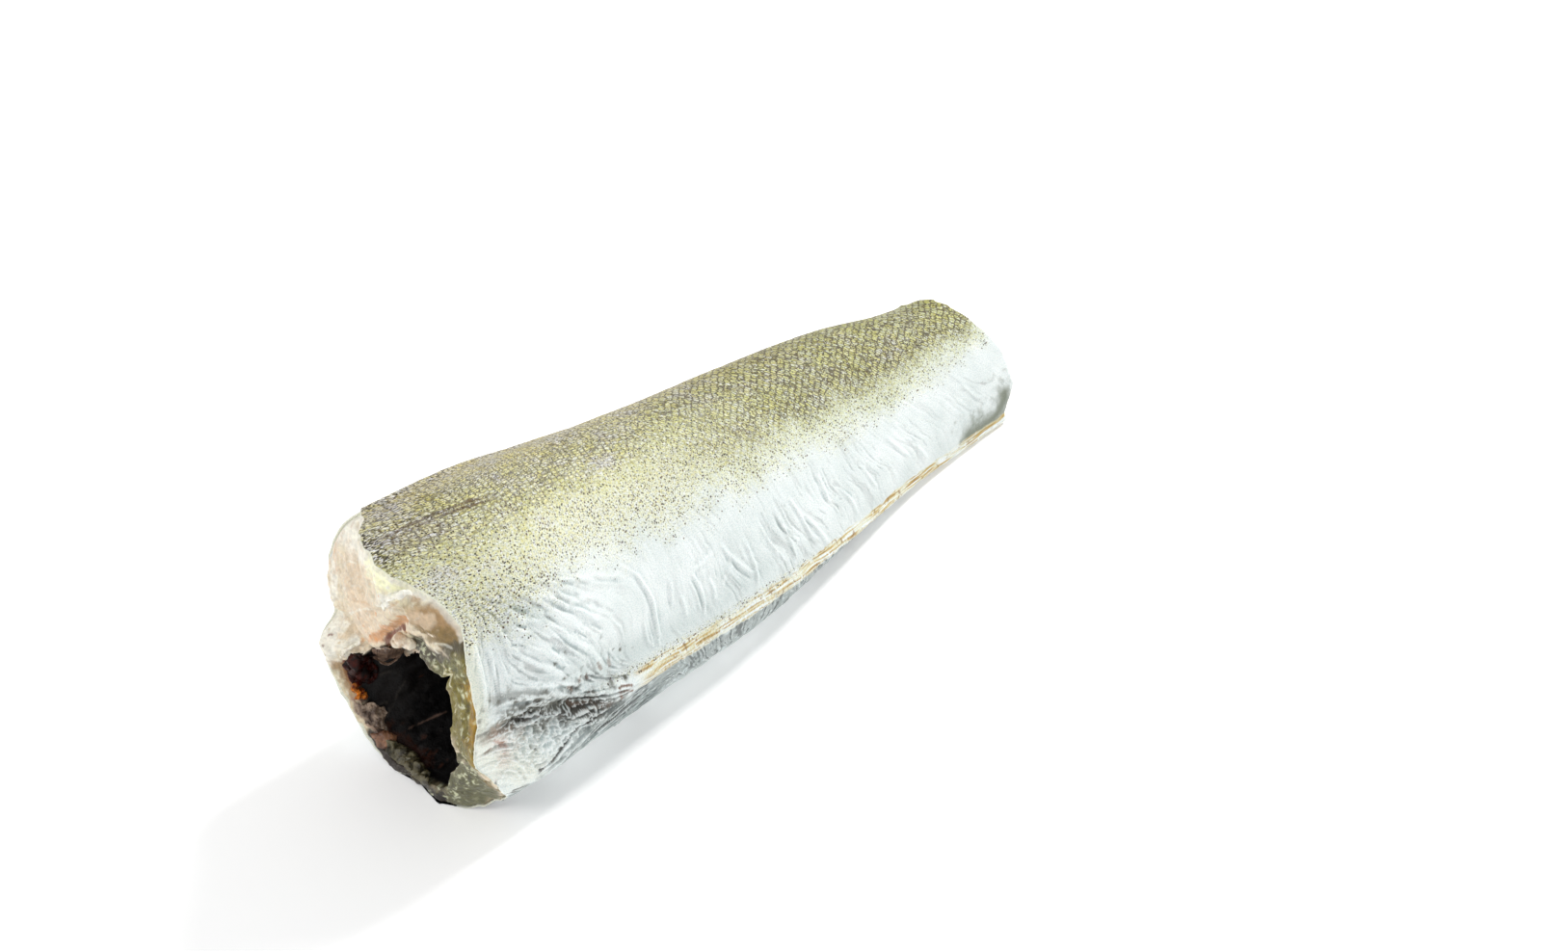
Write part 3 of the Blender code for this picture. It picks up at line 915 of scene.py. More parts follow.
# %% Strokes over the skin
STROKES = (
    (CREAM, 0.85, 2.6, 0.2, (484, 650), (488, 690), (495, 722), (499, 748), (495, 764)),
    (SILVER_SHADE, 0.7, 3.0, 0.5, (528, 632), (545, 636), (565, 640)),
    (SILVER_SHADE, 0.6, 4.5, 0.4, (600, 700), (640, 690), (690, 660), (740, 630), (800, 585)),
    # painted shade in the sunken belly wall and along its deep crease
    (DENT_SHADE, 0.95, 4.0, 0.8, (526, 750), (545, 742), (575, 738), (612, 742), (640, 737)),
    (DENT_SHADE, 0.85, 2.6, 0.8, (509, 765), (524, 760), (546, 752)),
    (DENT_SHADE, 0.5, 1.6, 0.8, (512, 726), (545, 720), (572, 726)),
    (DENT_SHADE, 0.5, 2.4, 0.8, (545, 764), (572, 760), (592, 753)),
    (CREASE_SHADE, 0.75, 1.3, 0.9, (508, 763), (535, 755), (560, 751), (585, 749)),
    (CREASE_SHADE, 0.9, 2.1, 0.8, (594, 748), (612, 743), (628, 738), (643, 737)),
    (CREASE_SHADE, 0.7, 0.5, 0.4, (497, 765), (508, 762), (518, 757)),
    (SKIN_EDGE, 0.7, 6.5, 0.3, (502, 786), (516, 794), (532, 796), (546, 800)),
    (PINK, 0.45, 3.0, 0.6, (520, 768), (530, 776), (528, 790)),
    (ROSE, 0.5, 0.7, 0.9, (516, 772), (524, 774), (531, 780)),
    (RUST, 0.45, 1.0, 0.9, (512, 766), (530, 762), (552, 760)),
    (RUST, 0.4, 0.8, 0.9, (604, 742), (618, 738), (634, 734)),
    # painted shade low on the belly, where the skin faces down
    (LOW_SHADE, 0.95, 6.0, 0.5, (520, 828), (560, 810), (600, 772), (640, 748), (670, 728)),
    # painted shade along the long creases low on the belly
    (CREASE_SHADE, 0.7, 0.5, 0.5, (492, 832), (520, 829), (545, 818), (562, 806)),
    *((CREASE_SHADE, 0.85, 0.38, 0.5, *line) for line in CONTOUR_LINES),
    (RUST, 0.95, 0.45, 0.2, (654, 711), (647, 714), (644, 720), (646, 725)),
    (RUST, 0.9, 0.4, 0.2, (646, 719), (651, 716), (655, 716)),
    (RUST, 0.7, 0.5, 0.4, (607, 706), (610, 710), (612, 713)),
    (RUST, 0.7, 0.5, 0.4, (616, 703), (621, 710)), (RUST, 0.6, 0.5, 0.4, (626, 690), (632, 698)),
    (RUST, 0.55, 0.5, 0.4, (597, 716), (606, 722)), (RUST, 0.5, 0.5, 0.4, (637, 684), (641, 694)),
    (TAIL_GREY, 0.9, 4.0, 0.5, (1004, 453), (1020, 442), (1034, 430), (1042, 412)),
    # painted shade in two fine creases near the tail edge
    (CREASE_SHADE, 0.25, 0.3, 0.6, (1000, 392), (1012, 397), (1024, 398)),
    (CREASE_SHADE, 0.25, 0.3, 0.6, (1006, 404), (1014, 412), (1020, 420)),
)
stroke_noise = rough(smooth_skin, 2.2 * MM, 50, 3)
for colour, strength, width, raggedness, *pixels in STROKES:
    near, distance, _ = to_line(skin_line(pixels), 2.4 * width * MM)
    distance = abs(distance) * (1 + raggedness * stroke_noise[near])
    soft = bump(distance, width * MM)
    crisp = soft_step(distance, 1.3 * width * MM, 0.6 * width * MM)
    weight = np.zeros(skin_x.shape)
    weight[near] = strength * (crisp if width < 1 else soft)
    tint = mixed(tint, colour, weight)
print("strokes on the skin:", len(STROKES))

# %% The lateral line and the dashes beside it
# near the head cut the lateral line is a pale line between two dark ones
LATERAL_LINE = ((374, 573), (400, 560), (440, 541), (480, 525), (526, 511))
LATERAL_HALF = 0.8 * MM         # from the pale line to a dark one
DARK_DASHES = ((376, 556), (384, 570), (396, 580))
LILAC_STROKE = ((405, 565), (430, 556), (455, 548))


def soft_band(pixels, width, raggedness=0.0):
    """A soft band about a line on the skin, 1 in its middle."""
    near, distance, _ = to_line(skin_line(pixels), 12 * MM)
    band = np.zeros(skin_x.shape)
    band[near] = bump(distance * (1 + raggedness * stroke_noise[near]), width)
    return band


near, distance, part = to_line(skin_line(LATERAL_LINE), 6 * MM)
lateral, between = np.zeros((2,) + skin_x.shape)
to_dark = abs(abs(distance) - LATERAL_HALF) * (1 + 0.6 * stroke_noise[near])
lateral[near] = soft_step(to_dark, 0.60 * MM, 0.25 * MM) * (1 - soft_step(part, 0.75, 1.0))
between[near] = bump(distance, LATERAL_HALF / 2) * (1 - soft_step(part, 0.75, 1.0))
tint = mixed(tint, FLECK_LIGHT, 0.3 * between)
tint = mixed(tint, SCALE_BROWN, 0.95 * lateral)
scales = scales * (1 - 0.5 * between)
dashes = 0.9 * soft_band(DARK_DASHES, 3.4 * MM, 0.5)
scales = np.maximum(scales, dashes)
upper_front = (1 - rear_part) * soft_step(above, 26, 60) * soft_step(patches, -0.7, 0.3)
dashes = np.maximum(dashes, np.maximum(0.42 * upper_front, 0.38 * clusters))
tint = mixed(tint, LILAC, 0.7 * soft_band(LILAC_STROKE, 4.0 * MM))

# %% The band along the fin's base
# cream and ochre fibres run along it, so their noise is drawn out lengthwise
FIBRE = 0.42 * MM
FIBRE_DRAWN_OUT = 0.055
fibre_place = np.stack([along * FIBRE_DRAWN_OUT,
                        from_fin + 0.5 * MM * lumps(smooth_skin, 7 * MM, 56),
                        0 * along], axis=-1)
fibres = rough(fibre_place, FIBRE, 57, 2)
band_edge = from_fin + 0.4 * MM + 0.7 * MM * rough(smooth_skin, 4 * MM, 58, 3)
band_start = on_skin([(664, 704)])[0][0]
band = soft_step(skin_x, band_start - 3 * MM, band_start + 5 * MM)
band = band * soft_step(abs(band_edge), 4.0 * MM, 2.9 * MM)
tint = mixed(tint, FIN_CREAM, 0.8 * band)
tint = mixed(tint, FIN_OCHRE, band * soft_step(fibres, 0.0, 0.5))
tint = mixed(tint, FIN_BROWN, 0.8 * band * soft_step(fibres, 0.55, 0.9))
tint = mixed(tint, SILVER, band * soft_step(-fibres, 0.2, 0.55))
ticks = rough(smooth_skin, 1.1 * MM, 55, 2)
tint = mixed(tint, SILVER, 0.8 * band * soft_step(ticks, 0.55, 0.85))
tint = mixed(tint, FIN_BROWN, 0.7 * band * soft_step(-ticks, 0.6, 0.9))

# below the band the skin is painted a blue-grey shade, down to where it meets the table; a fine
# hatch, partly from the fine wrinkles, adds painted shade and painted highlights
below = behind_vent * soft_step(band_edge, 3.0 * MM, 4.2 * MM)
below = below * soft_step(from_fin, 22 * MM, 14 * MM)
tint = mixed(tint, LOW_SHADE, 0.65 * below)
hatch = 0.7 * fine_wrinkles + 0.8 * rough(smooth_skin, 1.4 * MM, 59, 3)
tint = mixed(tint, tint * 0.5, below * soft_step(-hatch, 0.1, 1.1))
tint = mixed(tint, LOW_HIGHLIGHT, 0.9 * below * soft_step(hatch, 0.3, 1.0))

# %% Painted shade in hollows, painted highlights on crests and a painted shadow
# the tone of painted shade in the hollows of the pale skin
HOLLOW_SHADE_TONE = [0.70, 0.75, 0.76]
# painted shade: the hollows between the wrinkles are painted dark, most where the skin is loosest
creases = soft_step(-(0.8 * fine_wrinkles + 0.6 * broad_wrinkles), 0.5, 1.9)
tint = mixed(tint, CREASE_SHADE, 0.9 * hollow_shade * creases)
pale_skin = 1 - 0.8 * on_back
# painted shade in every hollow of the pale skin, by how far it lies below its neighbours
tint = mixed(tint, tint * HOLLOW_SHADE_TONE,
             pale_skin * soft_step(-detail, 0.02 * MM, 0.20 * MM))
# painted highlights on the crests of the pale skin
tint = mixed(tint, CREST_HIGHLIGHT, 0.6 * pale_skin * soft_step(detail, 0.02 * MM, 0.12 * MM))

# a painted shadow: the low far side is painted dark brown where it meets the head cut
from_cut = along - along[-1] + 1.5 * MM * stroke_noise
under_shadow = ~left_flank * soft_step(down_flank, 0.44, 0.54) * soft_step(down_flank, 0.90, 0.80)
under_shadow = under_shadow * soft_step(from_cut, 7 * MM, 4 * MM)
tint = mixed(tint, UNDER_SHADOW_BROWN, 0.95 * under_shadow)

# dark dots along the fin's base and a few below it
fin_dots = behind_vent * bump(from_fin + 4.6 * MM, 1.5 * MM) * soft_step(0.02 - skin_x, 0, 0.03)
below_dots = behind_vent * soft_step(from_fin, 1.5 * MM, 4 * MM) * 0.25
dots = np.maximum(dots, np.maximum(0.7 * fin_dots, below_dots * left_flank))
marks = np.stack([dots, scales, dashes], axis=-1)
print("painted skin, mean colour:", tint.mean(axis=(0, 1)).round(2))

# %% [markdown]
# ## The skin's pieces
#
# Real skin is half a millimetre thick, and its cut edge curls in over the flesh. So a
# few more rows turn each end of the sheet inwards. The sheet is then cut across into
# five pieces, because one mesh of this many points would be thinned when it is exported.
# They keep the normals of the whole sheet, so the cuts can't be seen.

# %% The skin's pieces
UV_UNIT = 10 * MM       # one unit of the UV map is a centimetre of skin
# rows of the rolled edge: how far inwards along the trunk and how far out, in mm
EDGE_ROLL = ((-0.12, -0.10), (-0.14, -0.30), (0.10, -0.50), (0.60, -0.66), (1.60, -0.85))
EDGE_STEP = 0.3 * MM    # how far apart those rows lie on the UV map


def rolled(row, way):
    """The rows that turn one end of the sheet inwards."""
    return np.stack([
        skin(skin_x[row] + way * inward * MM, around_degrees, relief[row] + drop * MM)
        for inward, drop in EDGE_ROLL])


skin_points = skin(skin_x, degrees, relief)
skin_points = np.concatenate([rolled(0, -1)[::-1], skin_points, rolled(-1, 1)])
lips = ((len(EDGE_ROLL), len(EDGE_ROLL)), (0, 0))
skin_tint = np.pad(tint, lips + ((0, 0),), mode="edge")
skin_marks = np.pad(marks, lips + ((0, 0),), mode="edge")
lip_weight = np.zeros(SKIN_ROWS)
lip_weight[[0, -1]] = 0.5
lip_weight = np.pad(lip_weight, lips[0], constant_values=1.0)
skin_tint = mixed(skin_tint, SKIN_EDGE, 0.9 * lip_weight[:, None] * np.ones(len(around_degrees)))
skin_marks = skin_marks * (1 - lip_weight)[:, None, None]
slide = np.arange(1, len(EDGE_ROLL) + 1)[:, None] * EDGE_STEP
skin_along = np.concatenate([along[:1] + slide[::-1], along, along[-1:] - slide])
skin_around = np.pad(around, lips, mode="edge")
skin_uv = np.stack([skin_along / UV_UNIT, skin_around / UV_UNIT], axis=-1)
skin_facing = grid_normals(skin_points)
skin_facing[:, 0] = skin_facing[:, -1] = skin_facing[:, 0] + skin_facing[:, -1]
skin_facing /= np.linalg.norm(skin_facing, axis=2, keepdims=True) + 1e-15

cuts = [len(EDGE_ROLL) + number * (PIECE_ROWS - 1) for number in range(1, PIECES)]
skin_pieces = []
for number, (start, end) in enumerate(zip([0] + cuts, cuts + [len(skin_points) - 1]), 1):
    rows = slice(start, end + 1)
    skin_pieces.append(wrap(f"hake_skin_{number}", skin_points[rows], skin_tint[rows],
                            skin_marks[rows], skin_uv[rows], skin_facing[rows]))

# %% [markdown]
# ## The material of the skin
#
# The painted colours are too smooth on their own. The material breaks them up with dots
# and scales in the scale of the real ones: a Voronoi texture gives each dot its own cell
# and size, and the borders of a stretched Voronoi texture draw the scales. Both read the
# UV map, in centimetres of skin, so they keep their size all over the fish. The skin is
# wet, so it has a thin clear coat over a softer gloss.

# %% Helpers for shaders
BUMP_STRENGTH = 0.8
COAT_ROUGHNESS = 0.12


def calculate(tree, operation, *values, clamp=False):
    """The output of a Math node."""
    inputs = dict(enumerate(values))
    return node(tree, "ShaderNodeMath", inputs, operation=operation, use_clamp=clamp).outputs[0]


def times(tree, first, second, clamp=False):
    """The product of two values."""
    return calculate(tree, "MULTIPLY", first, second, clamp=clamp)


def ramp(tree, value, low, high, start=0.0, end=1.0):
    """A smooth step of a value from start to end."""
    inputs = {"Value": value, "From Min": low, "From Max": high, "To Min": start, "To Max": end}
    made = node(tree, "ShaderNodeMapRange", inputs, interpolation_type="SMOOTHSTEP")
    return made.outputs["Result"]


def blend(tree, factor, first, second, way="MIX"):
    """Two colours mixed by a factor."""
    inputs = {0: factor, 6: first, 7: second}
    made = node(tree, "ShaderNodeMix", inputs, data_type="RGBA", blend_type=way)
    return made.outputs[2]


def toned(tree, colour, tone):
    """A colour multiplied by a tone."""
    return blend(tree, 1.0, colour, rgba(tone), "MULTIPLY")


def painted(tree, name):
    """A painted colour of the piece's points."""
    return node(tree, "ShaderNodeAttribute", {}, attribute_name=name).outputs["Color"]


def channels(tree, colour):
    """The red, green and blue of a colour."""
    return node(tree, "ShaderNodeSeparateColor", {"Color": colour}).outputs[:3]


def noise(tree, place, scale, detail, roughness=0.5, output="Fac"):
    """Soft noise at a place."""
    inputs = {"Vector": place, "Scale": scale, "Detail": detail, "Roughness": roughness}
    return node(tree, "ShaderNodeTexNoise", inputs).outputs[output]


def cells(tree, place, scale, randomness=1.0, feature="F1"):
    """Space cut into cells, each with its own random colour."""
    inputs = {"Vector": place, "Scale": scale, "Randomness": randomness}
    return node(tree, "ShaderNodeTexVoronoi", inputs, feature=feature).outputs


def stretched(tree, place, turn, size):
    """A place turned and measured in units of a size along and across."""
    inputs = {"Vector": place, "Rotation": (0, 0, turn), "Scale": size}
    return node(tree, "ShaderNodeMapping", inputs, vector_type="TEXTURE").outputs["Vector"]


def vectors(tree, operation, first, second):
    """The output of a Vector Math node."""
    inputs = {0: first, 1: second}
    return node(tree, "ShaderNodeVectorMath", inputs, operation=operation).outputs["Vector"]


def bumped(tree, height, distance):
    """The normals of a surface that a height raises by up to a distance."""
    inputs = {"Height": height, "Strength": BUMP_STRENGTH, "Distance": distance}
    return node(tree, "ShaderNodeBump", inputs).outputs["Normal"]


# %% Flecks, pepper and mottling
FLECK_YELLOW = (0.99, 0.92, 0.62)
FLECK_PALE = srgb(234, 234, 236)
PEPPER = srgb(118, 104, 60)
MOTTLE_BLUE = (0.80, 0.86, 0.87)

skin_material, tree, shader = new_material("wet_hake_skin")
surface = node(tree, "ShaderNodeUVMap", {}, uv_map="surface").outputs["UV"]
colour = painted(tree, "tint")
dot_density, scale_strength, dash_strength = channels(tree, painted(tree, "marks"))

# yellow and silvery flecks between the dots
fleck = noise(tree, surface, 11.0, 4.0, 0.75)
yellow = times(tree, ramp(tree, fleck, 0.47, 0.60), dot_density)
colour = blend(tree, yellow, colour, toned(tree, colour, FLECK_YELLOW))
silver = times(tree, ramp(tree, fleck, 0.47, 0.36), dot_density)
colour = blend(tree, silver, colour, rgba(FLECK_PALE))

# fine pepper between the dots, and a faint mottling everywhere
grains = noise(tree, surface, 26.0, 3.0, 0.6)
pepper = times(tree, ramp(tree, grains, 0.52, 0.64), dot_density)
colour = blend(tree, times(tree, pepper, 0.65), colour, rgba(PEPPER))
mottled = toned(tree, colour, MOTTLE_BLUE)
colour = blend(tree, ramp(tree, grains, 0.44, 0.60), colour, mottled)

# %% Dots
# a cell has a dot where its own random number is below the painted density
DOT_SCALE = 13.5            # dots to a centimetre
DOT_OLIVE = srgb(32, 30, 16)
DOT_BROWN = srgb(84, 56, 24)

dot_cells = cells(tree, surface, DOT_SCALE)
chance, own_size, own_hue = channels(tree, dot_cells["Color"])
room = calculate(tree, "SUBTRACT", times(tree, dot_density, 1.25), chance)
dot_size = calculate(tree, "MULTIPLY_ADD", own_size, 0.22, 0.18)
dot = calculate(tree, "SUBTRACT", dot_size, dot_cells["Distance"])
dot = times(tree, ramp(tree, dot, -0.05, 0.07), ramp(tree, room, 0.0, 0.12))
dot_colour = blend(tree, own_hue, rgba(DOT_OLIVE), rgba(DOT_BROWN))

# %% Scales
# long cells, each yellowish or lilac, with brown borders broken here and there
SCALE_YELLOW = (1.0, 0.93, 0.58)
SCALE_LILAC = (1.0, 0.98, 1.08)
SCALE_SHADE = (0.66, 0.64, 0.52)
SCALE_SIZE = (0.20, 0.095, 1.0)     # centimetres along and across
SCALE_TURNS = math.radians(14), math.radians(52)     # near the head cut and near the tail
SCALE_RANDOMNESS = 0.5
SCALE_WARP = (0.09, 0.05, 0.0)      # centimetres by which the rows waver
TURN_START, TURN_END = -5.0, 0.0    # centimetres along, between which the rows turn
NET_BROWN = srgb(64, 52, 22)

warp = vectors(tree, "MULTIPLY", noise(tree, surface, 5.0, 2.0, output="Color"), SCALE_WARP)
warped = vectors(tree, "ADD", surface, warp)
from_middle = node(tree, "ShaderNodeSeparateXYZ", {"Vector": warped}).outputs["X"]
rear = ramp(tree, from_middle, TURN_START, TURN_END)
lattices = [stretched(tree, warped, scale_turn, SCALE_SIZE) for scale_turn in SCALE_TURNS]
borders = [cells(tree, lattice, 1.0, SCALE_RANDOMNESS, "DISTANCE_TO_EDGE")["Distance"]
           for lattice in lattices]
shades = [cells(tree, lattice, 1.0, SCALE_RANDOMNESS)["Color"] for lattice in lattices]
border = node(tree, "ShaderNodeMix", {0: rear, 2: borders[0], 3: borders[1]}).outputs[0]
hue, darkness, _ = channels(tree, blend(tree, rear, *shades))
net = times(tree, ramp(tree, border, 0.19, 0.07),
            ramp(tree, noise(tree, surface, 9.0, 4.0), 0.36, 0.50, 0.45, 1.0))
net = times(tree, net, scale_strength, clamp=True)
own_colour = blend(tree, ramp(tree, hue, 0.35, 0.65), toned(tree, colour, SCALE_YELLOW),
                   toned(tree, colour, SCALE_LILAC))
colour = blend(tree, times(tree, scale_strength, 0.8), colour, own_colour)
shade = times(tree, ramp(tree, darkness, 0.5, 0.9), scale_strength)
colour = blend(tree, times(tree, shade, 0.75), colour, toned(tree, colour, SCALE_SHADE))
colour = blend(tree, times(tree, net, 0.92), colour, rgba(NET_BROWN))
colour = blend(tree, times(tree, dot, 0.95), colour, dot_colour)

# %% Spots and dashes
DASH_INK = srgb(26, 20, 16)
DASH_TURN = math.radians(-12)
DASH_SIZE = (0.13, 0.045, 1.0)      # centimetres along and across

# a few larger dark spots
spots = cells(tree, surface, 6.0)
spot = times(tree, ramp(tree, spots["Distance"], 0.15, 0.09),
             ramp(tree, channels(tree, spots["Color"])[0], 0.42, 0.47))
colour = blend(tree, times(tree, spot, dot_density, clamp=True), colour, rgba(DASH_INK))

# short black dashes and pale ones where the dark line along the flank begins
streak = noise(tree, stretched(tree, surface, DASH_TURN, DASH_SIZE), 1.0, 3.0)
dash = times(tree, ramp(tree, streak, 0.50, 0.55), dash_strength, clamp=True)
pale = times(tree, ramp(tree, streak, 0.46, 0.40), dash_strength, clamp=True)
colour = blend(tree, times(tree, pale, 0.8), colour, rgba(FLECK_PALE))
colour = blend(tree, dash, colour, rgba(DASH_INK))

# %% Gloss of the skin
SKIN_BUMP = 0.16 * MM
fine_grain = noise(tree, surface, 16.0, 5.0, 0.7)
raised = times(tree, ramp(tree, border, 0.0, 0.24), scale_strength)
raised = calculate(tree, "ADD", raised, times(tree, fine_grain, 1.8))
normal = bumped(tree, raised, SKIN_BUMP)
fill(tree, shader, {
    "Base Color": colour, "Normal": normal, "Coat Normal": normal,
    "Roughness": ramp(tree, fine_grain, 0.35, 0.65, 0.40, 0.66),
    "Specular IOR Level": 0.4, "Coat Weight": 0.12, "Coat Roughness": COAT_ROUGHNESS,
    "Subsurface Weight": 0.05, "Subsurface Radius": (1.0, 0.7, 0.5),
    "Subsurface Scale": 0.8 * MM})
for piece in skin_pieces:
    piece.data.materials.append(skin_material)
print("skin material:", len(tree.nodes), "nodes")

# %% [markdown]
# ## The head cut
#
# The cut shows the thick muscle of the back, the thin walls of the belly and, between
# them, the opening of the belly. The opening's outline is drawn on the photograph and
# cast on the plane of the cut. The flesh is then a sheet that spans from the skin's edge
# to that outline: each of its points lies some share of the way along a line from one to
# the other. It bulges most where the flesh is thickest.

# %% Outline of the belly's mouth
MOUTH_OUTLINE = (
    (361, 682), (373, 680), (385, 680), (399, 674), (415, 672), (431, 672), (440, 680),
    (450, 692), (462, 701), (470, 700), (467, 712), (473, 737), (470, 752), (474, 765),
    (481, 787), (469, 801), (458, 819), (446, 813), (432, 804), (416, 792), (402, 780),
    (390, 766), (378, 752), (369, 736), (362, 718), (358, 700),
)
MOUTH_X = -113.5 * MM
MOUTH_TILT = 0.06           # how much nearer the mouth is at its foot, per metre of depth
MOUTH_CENTRE = np.array([-13.0, -4.0]) * MM     # up and left in the section
MOUTH_RAGGED = 0.45 * MM


def cast(pixels, x):
    """The points at x that pixels of the photograph show."""
    pixels = np.asarray(pixels, float)
    aim = (CAMERA_RIGHT * (pixels[:, :1] - IMAGE_WIDTH / 2) / FOCAL_PIXELS
           + CAMERA_UP * (IMAGE_HEIGHT / 2 - pixels[:, 1:]) / FOCAL_PIXELS - CAMERA_BACK)
    reach = (x + SHIFT[0] - CAMERA_PLACE[0]) / aim[:, 0]
    return CAMERA_PLACE + aim * reach[:, None]


def in_section(points, x):
    """Directions up and left in the section at x of points in model coordinates."""
    _, _, lean, side = section(x)
    y = points[..., 1] - SHIFT[1] - side
    z = points[..., 2] - SHIFT[2] - section_lowest(x) + PRESSED_DEPTH
    return np.stack([y * np.sin(lean) + z * np.cos(lean), z * np.sin(lean) - y * np.cos(lean)], -1)


FACE_ROWS, FACE_COLUMNS = 100, 661
SKIN_THICKNESS = 0.55 * MM
FAR_WALL = 0.5 * MM         # on the far side the mouth lies this far inside the skin's edge
FAR_TURN = -85              # the middle of the far side, as a turn round the mouth's centre
THIN_WALL = 2.3 * MM        # the belly wall is nowhere thinner
MOUTH_RING = 20 * MM        # the noise of the mouth's edge is read round a ring of this size
MOUTH_TEARS = 5 * MM

face_degrees = np.linspace(-180, 180, FACE_COLUMNS)
rim_x = ragged_edge(HEAD_EDGE, face_degrees, HEAD_EDGE_SEED)
edge_relief = np.interp(face_degrees, around_degrees, relief[-1], period=360)
rim = skin(rim_x, face_degrees, edge_relief - SKIN_THICKNESS)
rim_places = in_section(rim, rim_x) - MOUTH_CENTRE
rim_turns = np.degrees(np.arctan2(rim_places[:, 1], rim_places[:, 0]))


def mouth_depth(turns, up):
    """Where along the trunk the mouth's outline lies, at turns round its centre."""
    flat = MOUTH_X + MOUTH_TILT * up
    softened = blurred(np.stack([rim_x] * 3), 6)[1]
    by_skin = np.interp(turns, rim_turns[:-1], softened[:-1], period=360)
    far = soft_step(abs(turned(turns, FAR_TURN)), 70, 35)
    return flat * (1 - far) + np.maximum(flat, by_skin + FAR_WALL) * far


mouth_x = np.full(len(MOUTH_OUTLINE), MOUTH_X)
for _ in range(6):      # where the outline falls depends on how deep it lies, so go round
    mouth_places = in_section(cast(MOUTH_OUTLINE, mouth_x), mouth_x)
    from_centre = mouth_places - MOUTH_CENTRE
    mouth_turns = np.degrees(np.arctan2(from_centre[:, 1], from_centre[:, 0]))
    mouth_x = mouth_depth(mouth_turns, mouth_places[:, 0])
mouth_reach = np.hypot(from_centre[:, 0], from_centre[:, 1])
print("the mouth reaches", (mouth_reach.min() / MM).round(1), "to",
      (mouth_reach.max() / MM).round(1), "mm from its centre")


def mouth_at(turns):
    """Reach of the mouth's outline from its centre, at turns in degrees."""
    reach = np.interp(turns, mouth_turns, mouth_reach, period=360)
    round_it = np.stack([np.cos(np.radians(turns)), np.sin(np.radians(turns)), 0 * turns], -1)
    torn = rough(round_it * MOUTH_RING, MOUTH_TEARS, 61, 4)
    to_skin = np.interp(turns, rim_turns[:-1], np.hypot(*rim_places[:-1].T), period=360)
    return np.minimum(reach, to_skin - THIN_WALL) + MOUTH_RAGGED * torn


# %% The sheet of flesh
FACE_BULGE = 0.085          # of the flesh's own width there
# grades of unevenness: height, size of the lumps and seed
FACE_RELIEF = ((0.50 * MM, 7.0 * MM, 5), (0.32 * MM, 2.4 * MM, 15), (0.20 * MM, 0.9 * MM, 25))

reach = mouth_at(rim_turns)
mouth_up = MOUTH_CENTRE[0] + reach * np.cos(np.radians(rim_turns))
mouth_left = MOUTH_CENTRE[1] + reach * np.sin(np.radians(rim_turns))
mouth_x = mouth_depth(rim_turns, mouth_up)
mouth = place_in_section(mouth_x, mouth_up, mouth_left)
flesh_width = np.linalg.norm(mouth - rim, axis=1)

part = np.linspace(0, 1, FACE_ROWS)[:, None]
face = rim * (1 - part[..., None]) + mouth * part[..., None]
held = np.sqrt(np.clip(np.sin(np.pi * part), 0, 1))
out_of_cut = FACE_BULGE * flesh_width * held
print("flesh is", (flesh_width.min() / MM).round(1), "to",
      (flesh_width.max() / MM).round(1), "mm wide")

# %% [markdown]
# The cut is not clean. Muscle stands up where the knife left it and the flesh has shrunk
# into hollows beside the backbone. A row of `FACE_FORMS` gives a height and a width in
# millimetres, and the pixels of the form's middle line.

# %% Forms on the head cut
FACE_FORMS = (
    (1.4, 3.0, (350, 606), (356, 622), (362, 640), (360, 656)),
    (1.3, 2.6, (342, 650), (340, 666), (345, 682)),
    (-1.3, 1.4, (353, 630), (362, 634), (372, 644)),
    (1.0, 3.2, (372, 600), (386, 614), (392, 630)),
    (0.9, 1.3, (398, 624), (410, 617), (424, 622), (436, 630)),
    (-0.8, 1.2, (396, 632), (410, 628), (424, 632)),
    (-1.9, 1.8, (424, 640), (414, 650), (404, 660)),
    (1.5, 3.4, (440, 636), (452, 644), (462, 656)),
    (1.1, 1.2, (416, 664), (424, 660), (430, 664)),
    (1.0, 1.4, (394, 668), (404, 670)),
    (-1.2, 1.6, (440, 664), (448, 676), (456, 688)),
    (0.9, 1.1, (452, 664), (462, 668), (470, 674)),
    (1.6, 1.2, (441, 680), (450, 690), (462, 700), (469, 702), (467, 714), (472, 737), (471, 752),
     (475, 766), (481, 786)),
    (-1.0, 1.6, (484, 706), (487, 730), (486, 752), (488, 770)),
    (1.3, 2.4, (478, 812), (488, 808), (496, 812)),
    (1.6, 2.2, (412, 776), (422, 786)), (1.4, 2.0, (430, 795), (438, 801)),
    (-1.2, 1.3, (404, 770), (414, 790), (426, 802)),
    (1.0, 1.8, (364, 735), (374, 746), (386, 750)),
    (-0.8, 1.0, (378, 752), (390, 760), (400, 762)),
)


LINE_STEP = 0.5 * MM        # spacing of the points of a line on the flesh
SHOULDER_WIDTH, SHOULDER_DEPTH = 0.9 * MM, 0.5 * MM


def seen_at(points, pixels):
    """The points of a grid nearest to where pixels of the photograph show it."""
    flat = points.reshape(-1, 3)
    seen = in_photograph(flat)[0]
    return np.array([flat[np.argmin(((seen - pixel) ** 2).sum(axis=1))] for pixel in pixels])


def gap_to(points, line):
    """Distance of points from a line of points in space."""
    gap = np.full(points.shape[:-1], np.inf)
    for place in line:
        gap = np.minimum(gap, ((points - place) ** 2).sum(axis=-1))
    return np.sqrt(gap)


def gap_to_seen(points, pixels, spacing=LINE_STEP):
    """Distance of a grid's points from a smooth line through what pixels show of it."""
    return gap_to(points, through(seen_at(points, pixels), spacing))


